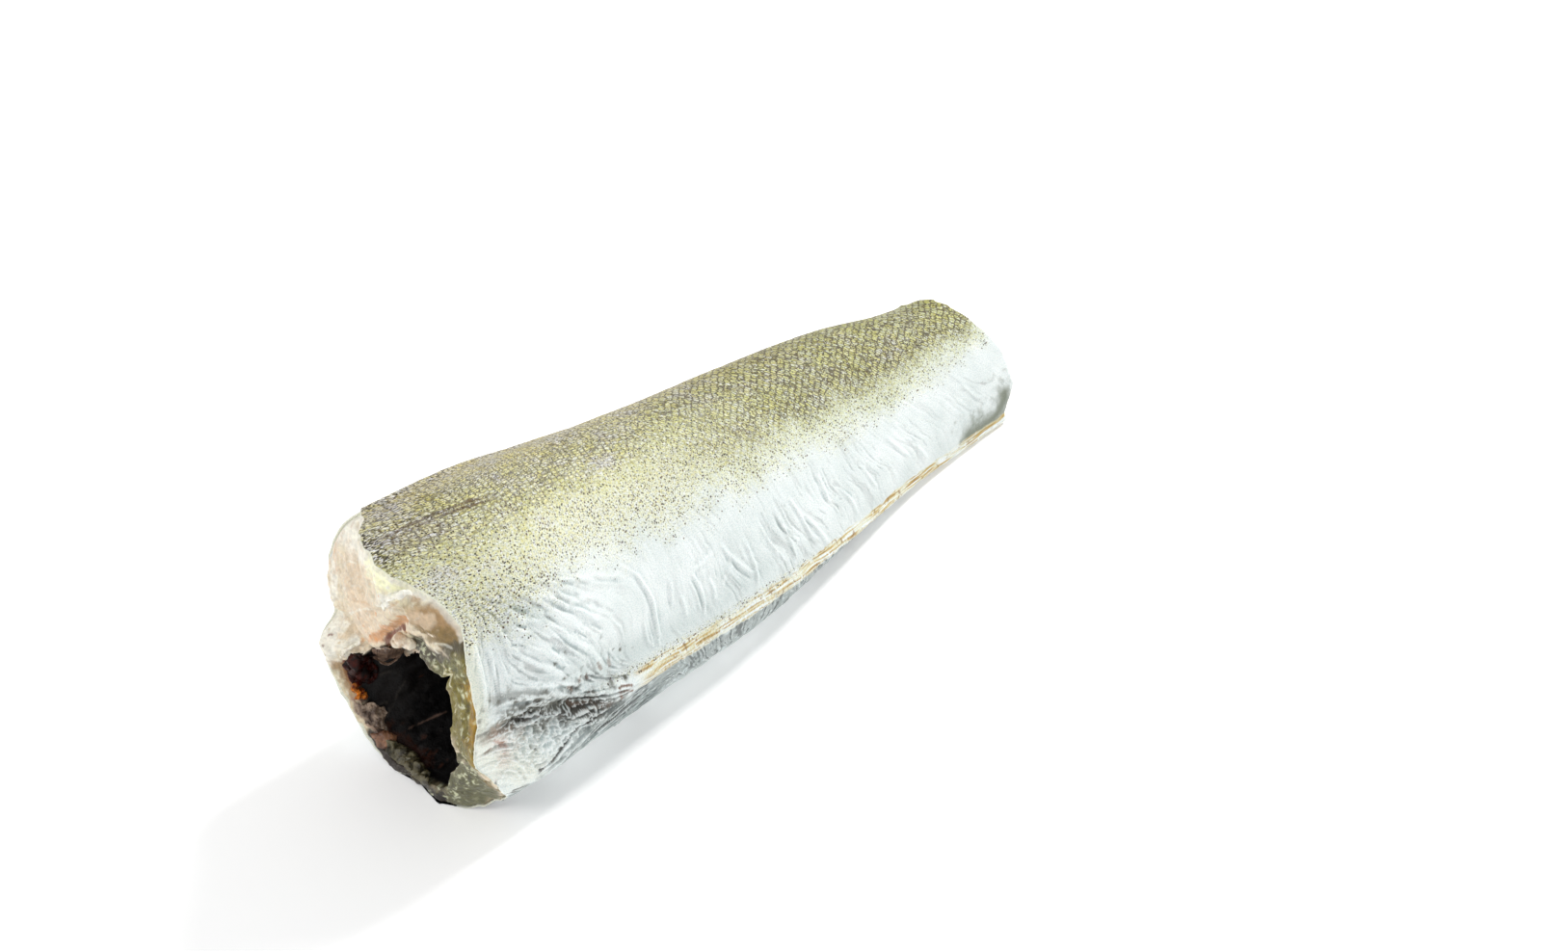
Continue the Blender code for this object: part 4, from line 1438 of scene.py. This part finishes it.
face_smooth = face.copy()
uneven = 1 + 0.35 * rough(face_smooth, 3 * MM, 70, 2)
for height, width, *pixels in FACE_FORMS:
    form = bump(gap_to_seen(face_smooth, pixels) * uneven, width * MM)
    out_of_cut = out_of_cut + height * MM * form
for height, size, seed in FACE_RELIEF:
    out_of_cut = out_of_cut + height * rough(face_smooth, size, seed, 3) * held
# the sheet starts a little inside the skin's edge and ends flush with the mouth
shoulder = soft_step(part * flesh_width, 0, SHOULDER_WIDTH)
out_of_cut = out_of_cut * shoulder * soft_step(part, 1.02, 0.94)
face[..., 0] -= out_of_cut - SHOULDER_DEPTH * (1 - shoulder)
face = press(face)
print("flesh stands out by", (out_of_cut.min() / MM).round(1), "to",
      (out_of_cut.max() / MM).round(1), "mm")

# %% [markdown]
# ## Colours of the flesh
#
# Raw hake is pale and a little glassy: cream and pink in the thick muscle, white where
# fat lies under the skin, amber where it thins to the belly wall and rust where blood
# has stained it. Strokes are laid on the points of the sheet one over the other, each
# with a ragged border: a colour, a strength, a width in millimetres, how ragged it is, and
# the pixels of its line.

# %% Colours of the flesh
FLESH = srgb(228, 214, 186)
FLESH_PINK = srgb(231, 208, 179)
# the white of fat, also laid as painted highlights on the jelly
WHITE_FAT_AND_HIGHLIGHT = srgb(248, 244, 230)
FAT_YELLOW = srgb(255, 253, 212)
FLESH_ORANGE = srgb(212, 140, 68)
FLESH_BROWN = srgb(116, 50, 6)
FLESH_TAN = srgb(154, 112, 44)
FLESH_DEEP = srgb(124, 98, 36)
JELLY = srgb(48, 44, 10)
OCHRE = srgb(120, 108, 16)
OCHRE_GREY = srgb(122, 120, 72)
AMBER = srgb(176, 134, 14)
CREST = srgb(236, 230, 196)
WALL_FOOT = srgb(82, 86, 46)
LUMP_OLIVE = srgb(112, 102, 72)
MEMBRANE_PINK = srgb(172, 138, 120)
# the dark brown of a painted shadow along the low far edge of the cut
EDGE_SHADOW = srgb(36, 22, 15)
BLOOD_RIM = srgb(138, 34, 8)
EDGE_BLUE = srgb(172, 198, 214)
EDGE_ORANGE = srgb(206, 138, 66)
SEAM = srgb(204, 168, 124)
# the colour of painted highlights on glassy flesh
GLINT = srgb(224, 226, 190)

# %% Strokes on the flesh
FACE_STROKES = (
    # cream-white flesh under the skin's edge
    (WHITE_FAT_AND_HIGHLIGHT, 0.9, 4.0, 0.5, (356, 550), (364, 552), (366, 566)),
    (WHITE_FAT_AND_HIGHLIGHT, 0.9, 2.6, 0.6, (362, 540), (376, 534), (384, 542)),
    (WHITE_FAT_AND_HIGHLIGHT, 0.8, 1.6, 0.5, (346, 585), (347, 605), (351, 628)),
    (WHITE_FAT_AND_HIGHLIGHT, 0.85, 2.2, 0.6, (372, 566), (382, 580), (394, 594)),
    (EDGE_BLUE, 0.8, 0.55, 0.4, (360, 538), (350, 549), (344, 562), (343, 576)),
    (EDGE_ORANGE, 0.75, 0.22, 0.4, (356, 544), (350, 556), (348, 566), (347, 580), (349, 592)),
    # pinkish muscle, with pale seams
    (FLESH_PINK, 0.6, 7.0, 0.8, (364, 594), (376, 612), (370, 636)),
    (FLESH_PINK, 0.6, 4.0, 0.8, (390, 640), (380, 652)),
    (WHITE_FAT_AND_HIGHLIGHT, 0.8, 0.35, 0.5, (357, 587), (362, 583), (370, 585)),
    (WHITE_FAT_AND_HIGHLIGHT, 0.7, 0.35, 0.5, (357, 611), (366, 608), (374, 609)),
    (WHITE_FAT_AND_HIGHLIGHT, 0.7, 0.30, 0.6, (356, 640), (366, 636), (378, 632), (386, 633)),
    (WHITE_FAT_AND_HIGHLIGHT, 0.6, 0.30, 0.6, (376, 596), (386, 604), (394, 616)),
    (SEAM, 0.5, 0.30, 0.6, (360, 600), (372, 598), (384, 606)),
    (SEAM, 0.5, 0.35, 0.6, (358, 622), (370, 622), (384, 628)),
    # yellow fat and a torn white flap
    (FAT_YELLOW, 1.0, 5.4, 0.5, (396, 597), (404, 603), (414, 608), (430, 614)),
    (AMBER, 0.5, 0.5, 0.5, (422, 613), (426, 615)),
    (WHITE_FAT_AND_HIGHLIGHT, 1.0, 1.5, 0.8, (399, 629), (402, 621), (412, 617), (424, 617), (438, 622)),
    (SEAM, 0.8, 0.3, 0.4, (404, 631), (412, 626), (420, 620)),
    (WHITE_FAT_AND_HIGHLIGHT, 0.9, 1.6, 0.7, (446, 628), (460, 634), (470, 644)),
    # the right muscle, glossy and darker towards its foot
    (FLESH, 0.7, 3.0, 0.5, (426, 628), (438, 630), (446, 636)),
    (FLESH_TAN, 0.85, 4.6, 0.5, (440, 642), (452, 646), (462, 654)),
    (FLESH_DEEP, 0.85, 3.4, 0.6, (448, 661), (460, 662), (474, 668)),
    (FLESH_PINK, 0.6, 2.2, 0.7, (434, 640), (444, 646)),
    # the orange notch beside the backbone
    (FLESH_ORANGE, 0.7, 1.5, 0.8, (390, 660), (398, 655), (410, 648), (420, 641)),
    (FLESH_ORANGE, 0.5, 1.0, 0.9, (364, 668), (376, 664), (390, 664)),
    (FLESH_BROWN, 0.9, 0.55, 0.7, (402, 661), (408, 657), (414, 654), (420, 650)),
    (FLESH_BROWN, 0.85, 1.0, 0.5, (402, 664), (404, 670)),
    (BLOOD_RIM, 0.85, 0.9, 0.8, (360, 682), (361, 692), (364, 704), (368, 716)),
    # the white bulge on the far side
    (WHITE_FAT_AND_HIGHLIGHT, 0.95, 3.8, 0.6, (342, 646), (337, 658), (338, 672)),
    (WHITE_FAT_AND_HIGHLIGHT, 0.95, 1.3, 0.6, (356, 678), (362, 670), (370, 664)),
    (WHITE_FAT_AND_HIGHLIGHT, 0.7, 1.6, 0.7, (338, 684), (346, 700), (354, 716)),
    (FLESH_BROWN, 0.8, 0.3, 0.4, (342, 659), (344, 659)),
    (FLESH_BROWN, 0.7, 0.3, 0.4, (334, 668), (335, 670)),
    # jelly between the muscle and the near wall
    (JELLY, 0.9, 3.6, 0.4, (438, 672), (448, 680), (458, 690), (470, 694)),
    (JELLY, 0.85, 2.4, 0.5, (468, 676), (478, 678), (482, 688)),
    (OCHRE_GREY, 0.6, 1.0, 0.8, (452, 690), (460, 696), (468, 700)),
    # painted highlights on the wet jelly, in white
    (WHITE_FAT_AND_HIGHLIGHT, 0.45, 0.45, 0.9, (452, 668), (460, 669), (468, 672)),
    (WHITE_FAT_AND_HIGHLIGHT, 0.7, 0.35, 0.9, (450, 674), (454, 678)),
    # the near wall, olive to amber
    (OCHRE, 0.95, 7.0, 0.2, (490, 708), (495, 735), (495, 765), (496, 788)),
    (OCHRE_GREY, 0.95, 4.4, 0.3, (474, 704), (480, 712), (484, 722)),
    (OCHRE, 0.97, 4.6, 0.3, (480, 722), (485, 740), (485, 762)),
    (OCHRE, 0.95, 3.4, 0.3, (471, 714), (475, 737), (472, 752), (476, 766), (482, 786)),
    (AMBER, 0.85, 2.6, 0.5, (493, 714), (498, 732), (499, 750), (497, 768)),
    (AMBER, 0.4, 2.6, 0.6, (484, 776), (487, 790)),
    (OCHRE_GREY, 0.6, 2.0, 0.6, (480, 775), (484, 786)),
    (WALL_FOOT, 0.9, 5.4, 0.4, (490, 802), (480, 815), (470, 830), (490, 826), (502, 817)),
    (FLESH_DEEP, 0.7, 1.2, 0.5, (505, 812), (512, 818), (520, 820)),
    # the low far side
    (FLESH_TAN, 0.7, 2.6, 0.7, (350, 694), (359, 712), (366, 730)),
    (LUMP_OLIVE, 0.9, 4.4, 0.4, (408, 774), (424, 790), (440, 805), (448, 818)),
    (MEMBRANE_PINK, 0.85, 2.8, 0.6, (366, 732), (380, 742), (396, 752)),
    (FLESH_ORANGE, 0.35, 0.7, 0.8, (350, 704), (358, 722), (370, 744), (380, 762)),
    (CREST, 0.6, 1.2, 0.8, (344, 700), (352, 720), (362, 742), (374, 762)),
    # a painted shadow: dark brown where the low far side meets the table
    (EDGE_SHADOW, 0.95, 2.4, 0.4, (382, 774), (402, 792), (422, 808), (436, 824), (450, 841)),
    (CREST, 0.9, 0.20, 0.6, (440, 681), (450, 691), (462, 700), (469, 701), (467, 712),
     (473, 737), (470, 752), (474, 765), (481, 786)),
)


def brushed(points, painting, strokes, seed):
    """Paint strokes, each a colour, strength, width, raggedness and pixels, on a grid."""
    ragged_by = rough(points, 2.0 * MM, seed, 5)
    for colour, strength, width, raggedness, *pixels in strokes:
        gap = gap_to_seen(points, pixels) * (1 + raggedness * ragged_by)
        weight = strength * soft_step(gap, 1.5 * width * MM, 0.6 * width * MM)
        painting = mixed(painting, colour, weight)
    return painting


# %% Painting the flesh
GLASSY_LINES = (            # where the flesh is thin and glassy, with small painted glints
    ((444, 818), (466, 824), (488, 806), (480, 784)), ((478, 700), (484, 730), (484, 768)),
    ((440, 674), (456, 686), (470, 694)),
)
GLASSY_WIDTH = 4.5 * MM
face_tint = mixed(FLESH, FLESH_PINK, 0.3 + 0.5 * rough(face, 5 * MM, 80, 3))
face_tint = brushed(face, face_tint, FACE_STROKES, 81)
glassy = np.max([bump(gap_to_seen(face, pixels, 2 * LINE_STEP), GLASSY_WIDTH)
                 for pixels in GLASSY_LINES], axis=0)
grain = rough(face, 1.1 * MM, 85, 4)
face_tint = mixed(face_tint, face_tint * 0.5, glassy * soft_step(-grain, 0.0, 0.7))
# painted glints: small painted highlights where the flesh is glassy
face_tint = mixed(face_tint, GLINT, 0.85 * glassy * soft_step(grain, 0.35, 0.70))
fresh = rough(face, 1.4 * MM, 83, 4)
face_tint = mixed(face_tint, face_tint * 1.12, 0.6 * fresh)
face_tint = mixed(face_tint, face_tint * 0.76, -0.6 * fresh)
# fine pale threads of connective tissue
threads = abs(rough(face, 2.6 * MM, 84, 4))
face_tint = mixed(face_tint, WHITE_FAT_AND_HIGHLIGHT, 0.45 * soft_step(threads, 0.10, 0.02)
                  * soft_step(face_tint.mean(axis=2), 0.30, 0.55))
# white fat under the skin of the back
face_tint = mixed(face_tint, WHITE_FAT_AND_HIGHLIGHT, 0.8 * soft_step(part * flesh_width, 1.6 * MM, 0.2 * MM)
                  * (abs(turned(face_degrees, 0)) < 75))
head_flesh = wrap("head_cut_flesh", face, np.clip(face_tint, 0, 1), uv=face[..., 1:] / UV_UNIT)

# %% [markdown]
# ## Lining of the belly
#
# Inside the mouth the belly is lined with a black skin, wet and faintly ribbed. The
# lining is a tube that starts on the mouth's outline and narrows to a closed end. Its
# sections are ellipses, the same as in the solid model, apart from the first
# centimetre, where they take up the shape of the mouth.

# %% Lining of the belly
CAVITY = np.array([      # inward, up, left, half height and half width, in mm
    (0, -12.5, -5, 19.5, 20.5), (16, -13.5, -4, 18, 19.5), (34, -14, -2, 15.5, 16.5),
    (52, -15.5, -1, 11.5, 12), (65, -16.5, 0, 6.5, 7), (70, -17, 0, 0, 0),
]) * MM
BELLY_DEPTH = 70 * MM
LINING_ROWS = 96
LINING_CROWDED = 1.35       # above 1 the rows lie closer at the mouth
MOUTH_BLEND = 13 * MM
RIB_HEIGHT = 0.55 * MM
FLOOR_WALL = 2.0 * MM       # the belly wall that the fish lies on is at least this thick
LINING_ROUND = 20 * MM      # a mean radius, for the UV map
LINING_BLACK = srgb(5, 3, 3)
LINING_GREY = srgb(26, 22, 20)
FILM_GREY = srgb(64, 58, 52)
LINING_STROKES = (
    (LINING_GREY, 0.8, 6.0, 0.8, (400, 700), (412, 716), (404, 735)),
    (LINING_GREY, 0.5, 3.0, 0.8, (430, 690), (442, 705)),
    (MEMBRANE_PINK, 0.35, 0.3, 0.4, (424, 756), (442, 747), (461, 740)),
    (FILM_GREY, 0.6, 0.3, 0.4, (391, 737), (394, 731), (401, 730), (404, 737), (401, 744)),
    (FILM_GREY, 0.5, 0.3, 0.5, (408, 733), (412, 720), (420, 708)),
    (FILM_GREY, 0.4, 0.3, 0.5, (395, 700), (405, 697), (414, 700)),
    (FLESH_BROWN, 0.15, 1.6, 0.8, (395, 762), (420, 770), (440, 790)),
)
inward = BELLY_DEPTH * np.linspace(0, 1, LINING_ROWS) ** LINING_CROWDED
cavity_rows = np.stack([np.interp(inward, CAVITY[:, 0], CAVITY[:, k]) for k in range(1, 5)], -1)
turns = np.radians(rim_turns)
ellipse_up = cavity_rows[:, :1] + cavity_rows[:, 2:3] * np.cos(turns)
ellipse_left = cavity_rows[:, 1:2] + cavity_rows[:, 3:4] * np.sin(turns)
follow = soft_step(inward, 0, MOUTH_BLEND)[:, None]
lining_up = mouth_up * (1 - follow) + ellipse_up * follow
lining_left = mouth_left * (1 - follow) + ellipse_left * follow
lining_x = mouth_x + inward[:, None]
lining = place_in_section(lining_x, lining_up, lining_left)
ribs = lumps(lining * [0.22, 1, 1], 2.2 * MM, 90) + 0.6 * rough(lining, 5 * MM, 91, 4)
centre = place_in_section(lining_x, np.broadcast_to(cavity_rows[:, :1], lining_x.shape),
                          np.broadcast_to(cavity_rows[:, 1:2], lining_x.shape))
towards = centre - lining
towards /= np.linalg.norm(towards, axis=2, keepdims=True) + 1e-9
free = soft_step(inward, 0.5 * MM, 4 * MM) * soft_step(BELLY_DEPTH - inward, 0, 8 * MM)
lining = lining + towards * (RIB_HEIGHT * ribs * free[:, None])[..., None]
raised = np.maximum(lining[..., 2], FLOOR_WALL)
lining[..., 2] += (raised - lining[..., 2]) * soft_step(inward, 0, 3 * MM)[:, None]
lining[0] = face[-1]
lining[-1] = lining[-1].mean(axis=0)
lining_tint = mixed(LINING_BLACK, LINING_GREY, 0.25 * rough(lining, 6 * MM, 92, 3))
lining_tint = brushed(lining, lining_tint, LINING_STROKES, 93)
from_mouth = soft_step(inward, 2.2 * MM, 0.2 * MM)[:, None]
lining_tint = mixed(lining_tint, face_tint[-1] * 0.7, from_mouth)
lining_uv = np.stack(np.broadcast_arrays(lining_x, LINING_ROUND * turns), axis=-1) / UV_UNIT
belly_lining = wrap("belly_lining", lining, np.clip(lining_tint, 0, 1), uv=lining_uv)

# %% [markdown]
# ## Small things in the mouth of the belly
#
# What the knife left behind gives the cut its look: a clot of blood beside the backbone,
# the pale end of the backbone, torn films of membrane, and glassy lumps low in the
# opening. A lump is a sphere pushed about by noise. A film is a lens of two sheets that
# meet all round, so it has a thickness and a closed edge. Each is placed on the flesh or
# the lining that the pixels of the photograph show.

# %% Helpers for lumps and films
NEAR_PIXELS = 2.0           # of the points this near to a pixel the nearest one is seen
OFF_FLOOR = 0.3 * MM        # a lump stays this far above the table
inside = np.concatenate([face.reshape(-1, 3), lining.reshape(-1, 3)])
inside_pixels, inside_depth = in_photograph(inside)


def touched(pixels, lift=0.0):
    """Points of the flesh or the lining that pixels show, lifted towards the camera."""
    found = []
    for pixel in pixels:
        gap = np.hypot(*(inside_pixels - pixel).T)
        nearest = np.argmin(np.where(gap < max(NEAR_PIXELS, gap.min()), inside_depth, np.inf))
        towards = CAMERA_PLACE - inside[nearest]
        found.append(inside[nearest] + lift * towards / np.linalg.norm(towards))
    return np.array(found)


def speckled(points, dark, light, size, seed):
    """Colours between two, in spots of a size."""
    spots = soft_step(rough(points, size, seed, 4), -0.8, 0.9)
    return mixed(dark, light, spots)


def clump(name, places, uneven, seed, dark, light):
    """Rounded lumps, each a pixel, a lift and three radii in millimetres, in one piece."""
    bm = bmesh.new()
    spots = []
    for pixel, lift, radii in places:
        centre = touched([pixel], lift * MM)[0]
        made = bmesh.ops.create_icosphere(bm, subdivisions=5, radius=1.0)["verts"]
        round_it = np.array([vert.co for vert in made])
        outward = round_it / np.array(radii)
        outward /= np.linalg.norm(outward, axis=1, keepdims=True)
        points = centre + round_it * np.array(radii) * MM
        push = uneven * MM * rough(points, 2.2 * MM, seed, 4)
        points = points + outward * push[:, None]
        points[:, 2] = np.maximum(points[:, 2], OFF_FLOOR)
        for vert, point in zip(made, points):
            vert.co = point
        spots.append(speckled(points, dark, light, 1.6 * MM, seed + 9))
    mesh = bpy.data.meshes.new(name)
    bm.to_mesh(mesh)
    bm.free()
    mesh.shade_smooth()
    colour_points(mesh, "tint", np.concatenate(spots))
    print(name, len(places), "lumps")
    return new_object(name, mesh)


FILM_ROWS, FILM_COLUMNS = 40, 80
FILM_TORN = 0.5 * MM


def film(name, lines, thickness, crumple, seed, dark, light, lift=0.8):
    """A thin closed sheet through lines of pixels, laid on what they show."""
    edges = np.stack([spline(touched(line, lift * MM), np.linspace(0, len(line) - 1, FILM_COLUMNS))
                      for line in lines])
    torn = np.stack([rough(edges, 3 * MM, seed + number, 4) for number in range(3)], axis=-1)
    edges = edges + FILM_TORN * torn
    across = np.linspace(0, len(lines) - 1, FILM_ROWS)
    sheet = spline(edges.reshape(len(lines), -1), across).reshape(FILM_ROWS, FILM_COLUMNS, 3)
    facing = grid_normals(sheet)
    sheet = sheet + facing * (crumple * MM * rough(sheet, 2.4 * MM, seed, 3))[..., None]
    down, side = np.meshgrid(np.linspace(0, math.pi, FILM_ROWS),
                             np.linspace(0, math.pi, FILM_COLUMNS), indexing="ij")
    swell = facing * (thickness / 2 * MM * np.sqrt(abs(np.sin(down) * np.sin(side))))[..., None]
    points = np.concatenate([sheet + swell, (sheet - swell)[::-1]])
    return wrap(name, points, speckled(points, dark, light, 1.8 * MM, seed + 9), closed=True)


# %% Clot, backbone end, films and lumps
CLOT_DARK, CLOT_LIGHT = srgb(5, 1, 1), srgb(62, 13, 3)
SCAB_DARK, SCAB_LIGHT = srgb(80, 16, 2), srgb(232, 138, 44)
BONE_DARK, BONE_LIGHT = srgb(200, 172, 142), srgb(238, 228, 208)
FILM_DARK, FILM_LIGHT = srgb(76, 54, 40), srgb(140, 112, 92)
VEIL_DARK, VEIL_LIGHT = srgb(84, 64, 50), srgb(176, 152, 130)
LUMP_DARK, LUMP_LIGHT = srgb(48, 42, 24), srgb(108, 100, 70)
BLOCK_DARK, BLOCK_LIGHT = srgb(96, 58, 34), srgb(168, 118, 82)
FAT_BRIGHT = srgb(255, 252, 240)

clot = film("blood_clot", (
    ((359, 681), (367, 679), (377, 682), (386, 687)),
    ((361, 691), (370, 691), (381, 692), (392, 695)),
    ((364, 701), (372, 702), (382, 703), (391, 704)),
    ((367, 710), (374, 711), (381, 711), (387, 709)),
), thickness=3.2, crumple=1.0, seed=110, dark=CLOT_DARK, light=CLOT_LIGHT, lift=0.5)
scab = clump("dried_blood", [
    ((372, 711), 0.3, (1.0, 0.9, 0.9)), ((369, 718), 0.3, (0.9, 0.9, 1.1)),
    ((375, 719), 0.3, (1.2, 0.9, 1.0)), ((372, 725), 0.3, (1.1, 0.9, 0.8)),
    ((379, 723), 0.3, (0.8, 0.8, 0.7)),
], uneven=0.7, seed=120, dark=SCAB_DARK, light=SCAB_LIGHT)
backbone = clump("backbone_end", [
    ((415, 664), 0.1, (1.8, 2.2, 1.6)), ((422, 668), 0.2, (1.6, 2.4, 1.8)),
    ((411, 670), 0.2, (1.2, 1.6, 1.1)),
], uneven=0.28, seed=130, dark=BONE_DARK, light=BONE_LIGHT)
lumps_below = film("belly_lumps", (
    ((400, 767), (412, 768), (426, 777), (438, 790), (446, 802)),
    ((402, 774), (412, 778), (424, 789), (435, 800), (445, 809)),
    ((400, 781), (410, 788), (422, 799), (433, 809), (443, 814)),
), thickness=4.2, crumple=1.1, seed=140, dark=LUMP_DARK, light=LUMP_LIGHT, lift=1.2)
block = film("torn_muscle", (
    ((384, 758), (393, 756), (403, 757), (411, 761)),
    ((386, 766), (395, 767), (404, 767), (411, 768)),
    ((391, 773), (397, 775), (404, 775), (409, 773)),
), thickness=2.2, crumple=0.4, seed=150, dark=BLOCK_DARK, light=BLOCK_LIGHT)
lip_of_bone = film("backbone_lip", (
    ((401, 671), (412, 674), (423, 674), (434, 671)),
    ((403, 676), (413, 680), (424, 681), (433, 677)),
), thickness=0.9, crumple=0.3, seed=180, dark=BONE_DARK, light=BONE_LIGHT)
flap = film("torn_flap", (
    ((396, 632), (399, 624), (405, 617), (415, 614), (424, 616)),
    ((399, 634), (403, 627), (409, 621), (417, 619), (425, 620)),
), thickness=2.4, crumple=0.6, seed=190, dark=WHITE_FAT_AND_HIGHLIGHT, light=FAT_BRIGHT, lift=2.3)
crest = film("torn_crest", (
    ((352, 680), (357, 672), (364, 667), (372, 662)),
    ((354, 684), (360, 678), (367, 672), (375, 666)),
), thickness=1.3, crumple=0.7, seed=200, dark=BONE_LIGHT, light=FAT_BRIGHT, lift=0.8)
roof_film = film("roof_film", (
    ((386, 675), (396, 673), (407, 672), (420, 673)),
    ((389, 683), (397, 683), (407, 682), (418, 679)),
    ((392, 687), (400, 692), (408, 691), (416, 683)),
), thickness=0.5, crumple=0.25, seed=160, dark=FILM_DARK, light=FILM_LIGHT)
wall_film = film("wall_film", (
    ((367, 728), (376, 731), (388, 727), (396, 733)),
    ((369, 736), (380, 738), (392, 737), (403, 738)),
    ((372, 743), (383, 746), (394, 748), (401, 744)),
    ((379, 752), (388, 757), (395, 755), (404, 757)),
), thickness=0.7, crumple=0.8, seed=170, dark=VEIL_DARK, light=VEIL_LIGHT)
small_pieces = (clot, scab, backbone, lip_of_bone, lumps_below, block, flap, crest, roof_film,
                wall_film)

# %% [markdown]
# ## The tail cut
#
# The tail was cut off straight through the backbone. The cut shows the backbone as a
# small round with four packs of muscle about it, each with the fine arcs of its layers.

# %% The tail cut
TAIL_ROWS = 60
BONE_WIDTH = 3.0 * MM
LAYER_WIDTH = 1.05 * MM     # of the arcs in the muscle
SEAM_WIDTH = 0.6 * MM       # between two packs of muscle
SEAM_TURN = 8               # of the seams round the bone, in degrees
RIM_WIDTH = 1.0 * MM
RIM_DEPTH = 0.6             # in mm, how far inside the skin's edge the rim starts
BONE_WHITE = srgb(236, 226, 208)
BONE_RED = srgb(150, 88, 70)
tail_x = ragged_edge(TAIL_EDGE, face_degrees, TAIL_EDGE_SEED)
edge_relief = np.interp(face_degrees, around_degrees, relief[0], period=360)
tail_rim = skin(tail_x, face_degrees, edge_relief - SKIN_THICKNESS)
tail_middle = place_in_section(np.array(TAIL_EDGE[0][1] * MM), np.array(0.0), np.array(0.0))
tail_part = np.linspace(0, 1, TAIL_ROWS)[:, None]
tail_face = tail_middle * (1 - tail_part[..., None]) + tail_rim * tail_part[..., None]
tail_reach = np.linalg.norm(tail_face - tail_middle, axis=2)
layers = np.sin(tail_reach / LAYER_WIDTH + 1.6 * np.sin(2 * np.radians(face_degrees))
                + 1.2 * rough(tail_face, 5 * MM, 100, 2))
wavering = 0.16 * rough(tail_face, 7 * MM, 103, 3)
seam_turn = np.radians(face_degrees + SEAM_TURN) + wavering
seams = bump(np.sin(2 * seam_turn) * tail_reach, SEAM_WIDTH)
bone = soft_step(tail_reach, BONE_WIDTH * 1.15, BONE_WIDTH * 0.9)
pit = soft_step(tail_reach, BONE_WIDTH * 0.55, 0)
rise = 0.16 * layers * (1 - bone) - 0.55 * seams * (1 - bone) + 0.7 * bone - 1.3 * pit
rise += 0.45 * rough(tail_face, 6 * MM, 101, 4)
at_rim = soft_step((1 - tail_part) * np.linalg.norm(tail_rim - tail_middle, axis=1), 0, RIM_WIDTH)
tail_face[..., 0] += MM * (rise * at_rim - RIM_DEPTH * (1 - at_rim))
tail_tint = mixed(FLESH, WHITE_FAT_AND_HIGHLIGHT, 0.35 + 0.35 * layers)
tail_tint = mixed(tail_tint, FLESH_PINK, 0.35 + 0.5 * rough(tail_face, 4 * MM, 102, 3))
tail_tint = mixed(tail_tint, FLESH_TAN, 0.8 * seams * (1 - bone))
tail_tint = mixed(tail_tint, BONE_WHITE, bone)
tail_tint = mixed(tail_tint, BONE_RED, pit + 0.5 * bump(tail_reach - 1.3 * BONE_WIDTH, 0.6 * MM))
tail_tint = mixed(tail_tint, WHITE_FAT_AND_HIGHLIGHT, 0.9 * (1 - at_rim))
tail_face = press(tail_face)
tail_flesh = wrap("tail_cut_flesh", tail_face, np.clip(tail_tint, 0, 1),
                  uv=tail_face[..., 1:] / UV_UNIT)

# %% [markdown]
# ## Materials of the flesh, the lining and the blood
#
# All three read the painted colours and add a fine grain to them. Flesh lets light in a
# little, so it has some subsurface scattering. All are wet, so a roughness that varies
# and a bump under it make small broken highlights.

# %% Materials of the flesh, the lining and the blood
DROP_SCALE = 0.45           # of the bumps, as a share of the grain's
FLESH_GLOW = 0.14           # how much of the light goes in


def wet(name, grain_scale, darkening, bump_distance, gloss, specular, coat, depth=0.0):
    """A wet, painted material with a fine grain, its gloss from low to high roughness."""
    material, tree, shader = new_material(name)
    place = node(tree, "ShaderNodeTexCoord", {}).outputs["Object"]
    colour = painted(tree, "tint")
    grain = noise(tree, place, grain_scale, 5.0, 0.65)
    dark = toned(tree, colour, [1 - darkening] * 3)
    drops = noise(tree, place, grain_scale * DROP_SCALE, 6.0, 0.7)
    normal = bumped(tree, drops, bump_distance)
    fill(tree, shader, {
        "Base Color": blend(tree, ramp(tree, grain, 0.35, 0.65), dark, colour),
        "Roughness": ramp(tree, grain, 0.35, 0.65, *gloss),
        "Normal": normal, "Coat Normal": normal, "Specular IOR Level": specular,
        "Coat Weight": coat, "Coat Roughness": COAT_ROUGHNESS})
    if depth:
        fill(tree, shader, {"Subsurface Weight": FLESH_GLOW, "Subsurface Scale": depth,
                            "Subsurface Radius": (1.0, 0.75, 0.5)})
    return material


flesh_material = wet(
    "raw_hake_flesh", grain_scale=900.0, darkening=0.20, bump_distance=0.8 * MM,
    gloss=(0.30, 0.54), specular=0.5, coat=0.32, depth=1.2 * MM)
lining_material = wet(
    "black_belly_lining", grain_scale=500.0, darkening=0.45, bump_distance=0.9 * MM,
    gloss=(0.40, 0.70), specular=0.15, coat=0.03)
blood_material = wet(
    "clotted_blood", grain_scale=1100.0, darkening=0.35, bump_distance=0.5 * MM,
    gloss=(0.30, 0.60), specular=0.15, coat=0.03)
head_flesh.data.materials.append(flesh_material)
tail_flesh.data.materials.append(flesh_material)
belly_lining.data.materials.append(lining_material)
for piece in small_pieces:
    dark_red = piece in (clot, scab)
    piece.data.materials.append(blood_material if dark_red else flesh_material)


# %% The fish moves as one piece
for piece in (*skin_pieces, head_flesh, belly_lining, *small_pieces, tail_flesh):
    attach(piece, "root")
    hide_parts("hake")
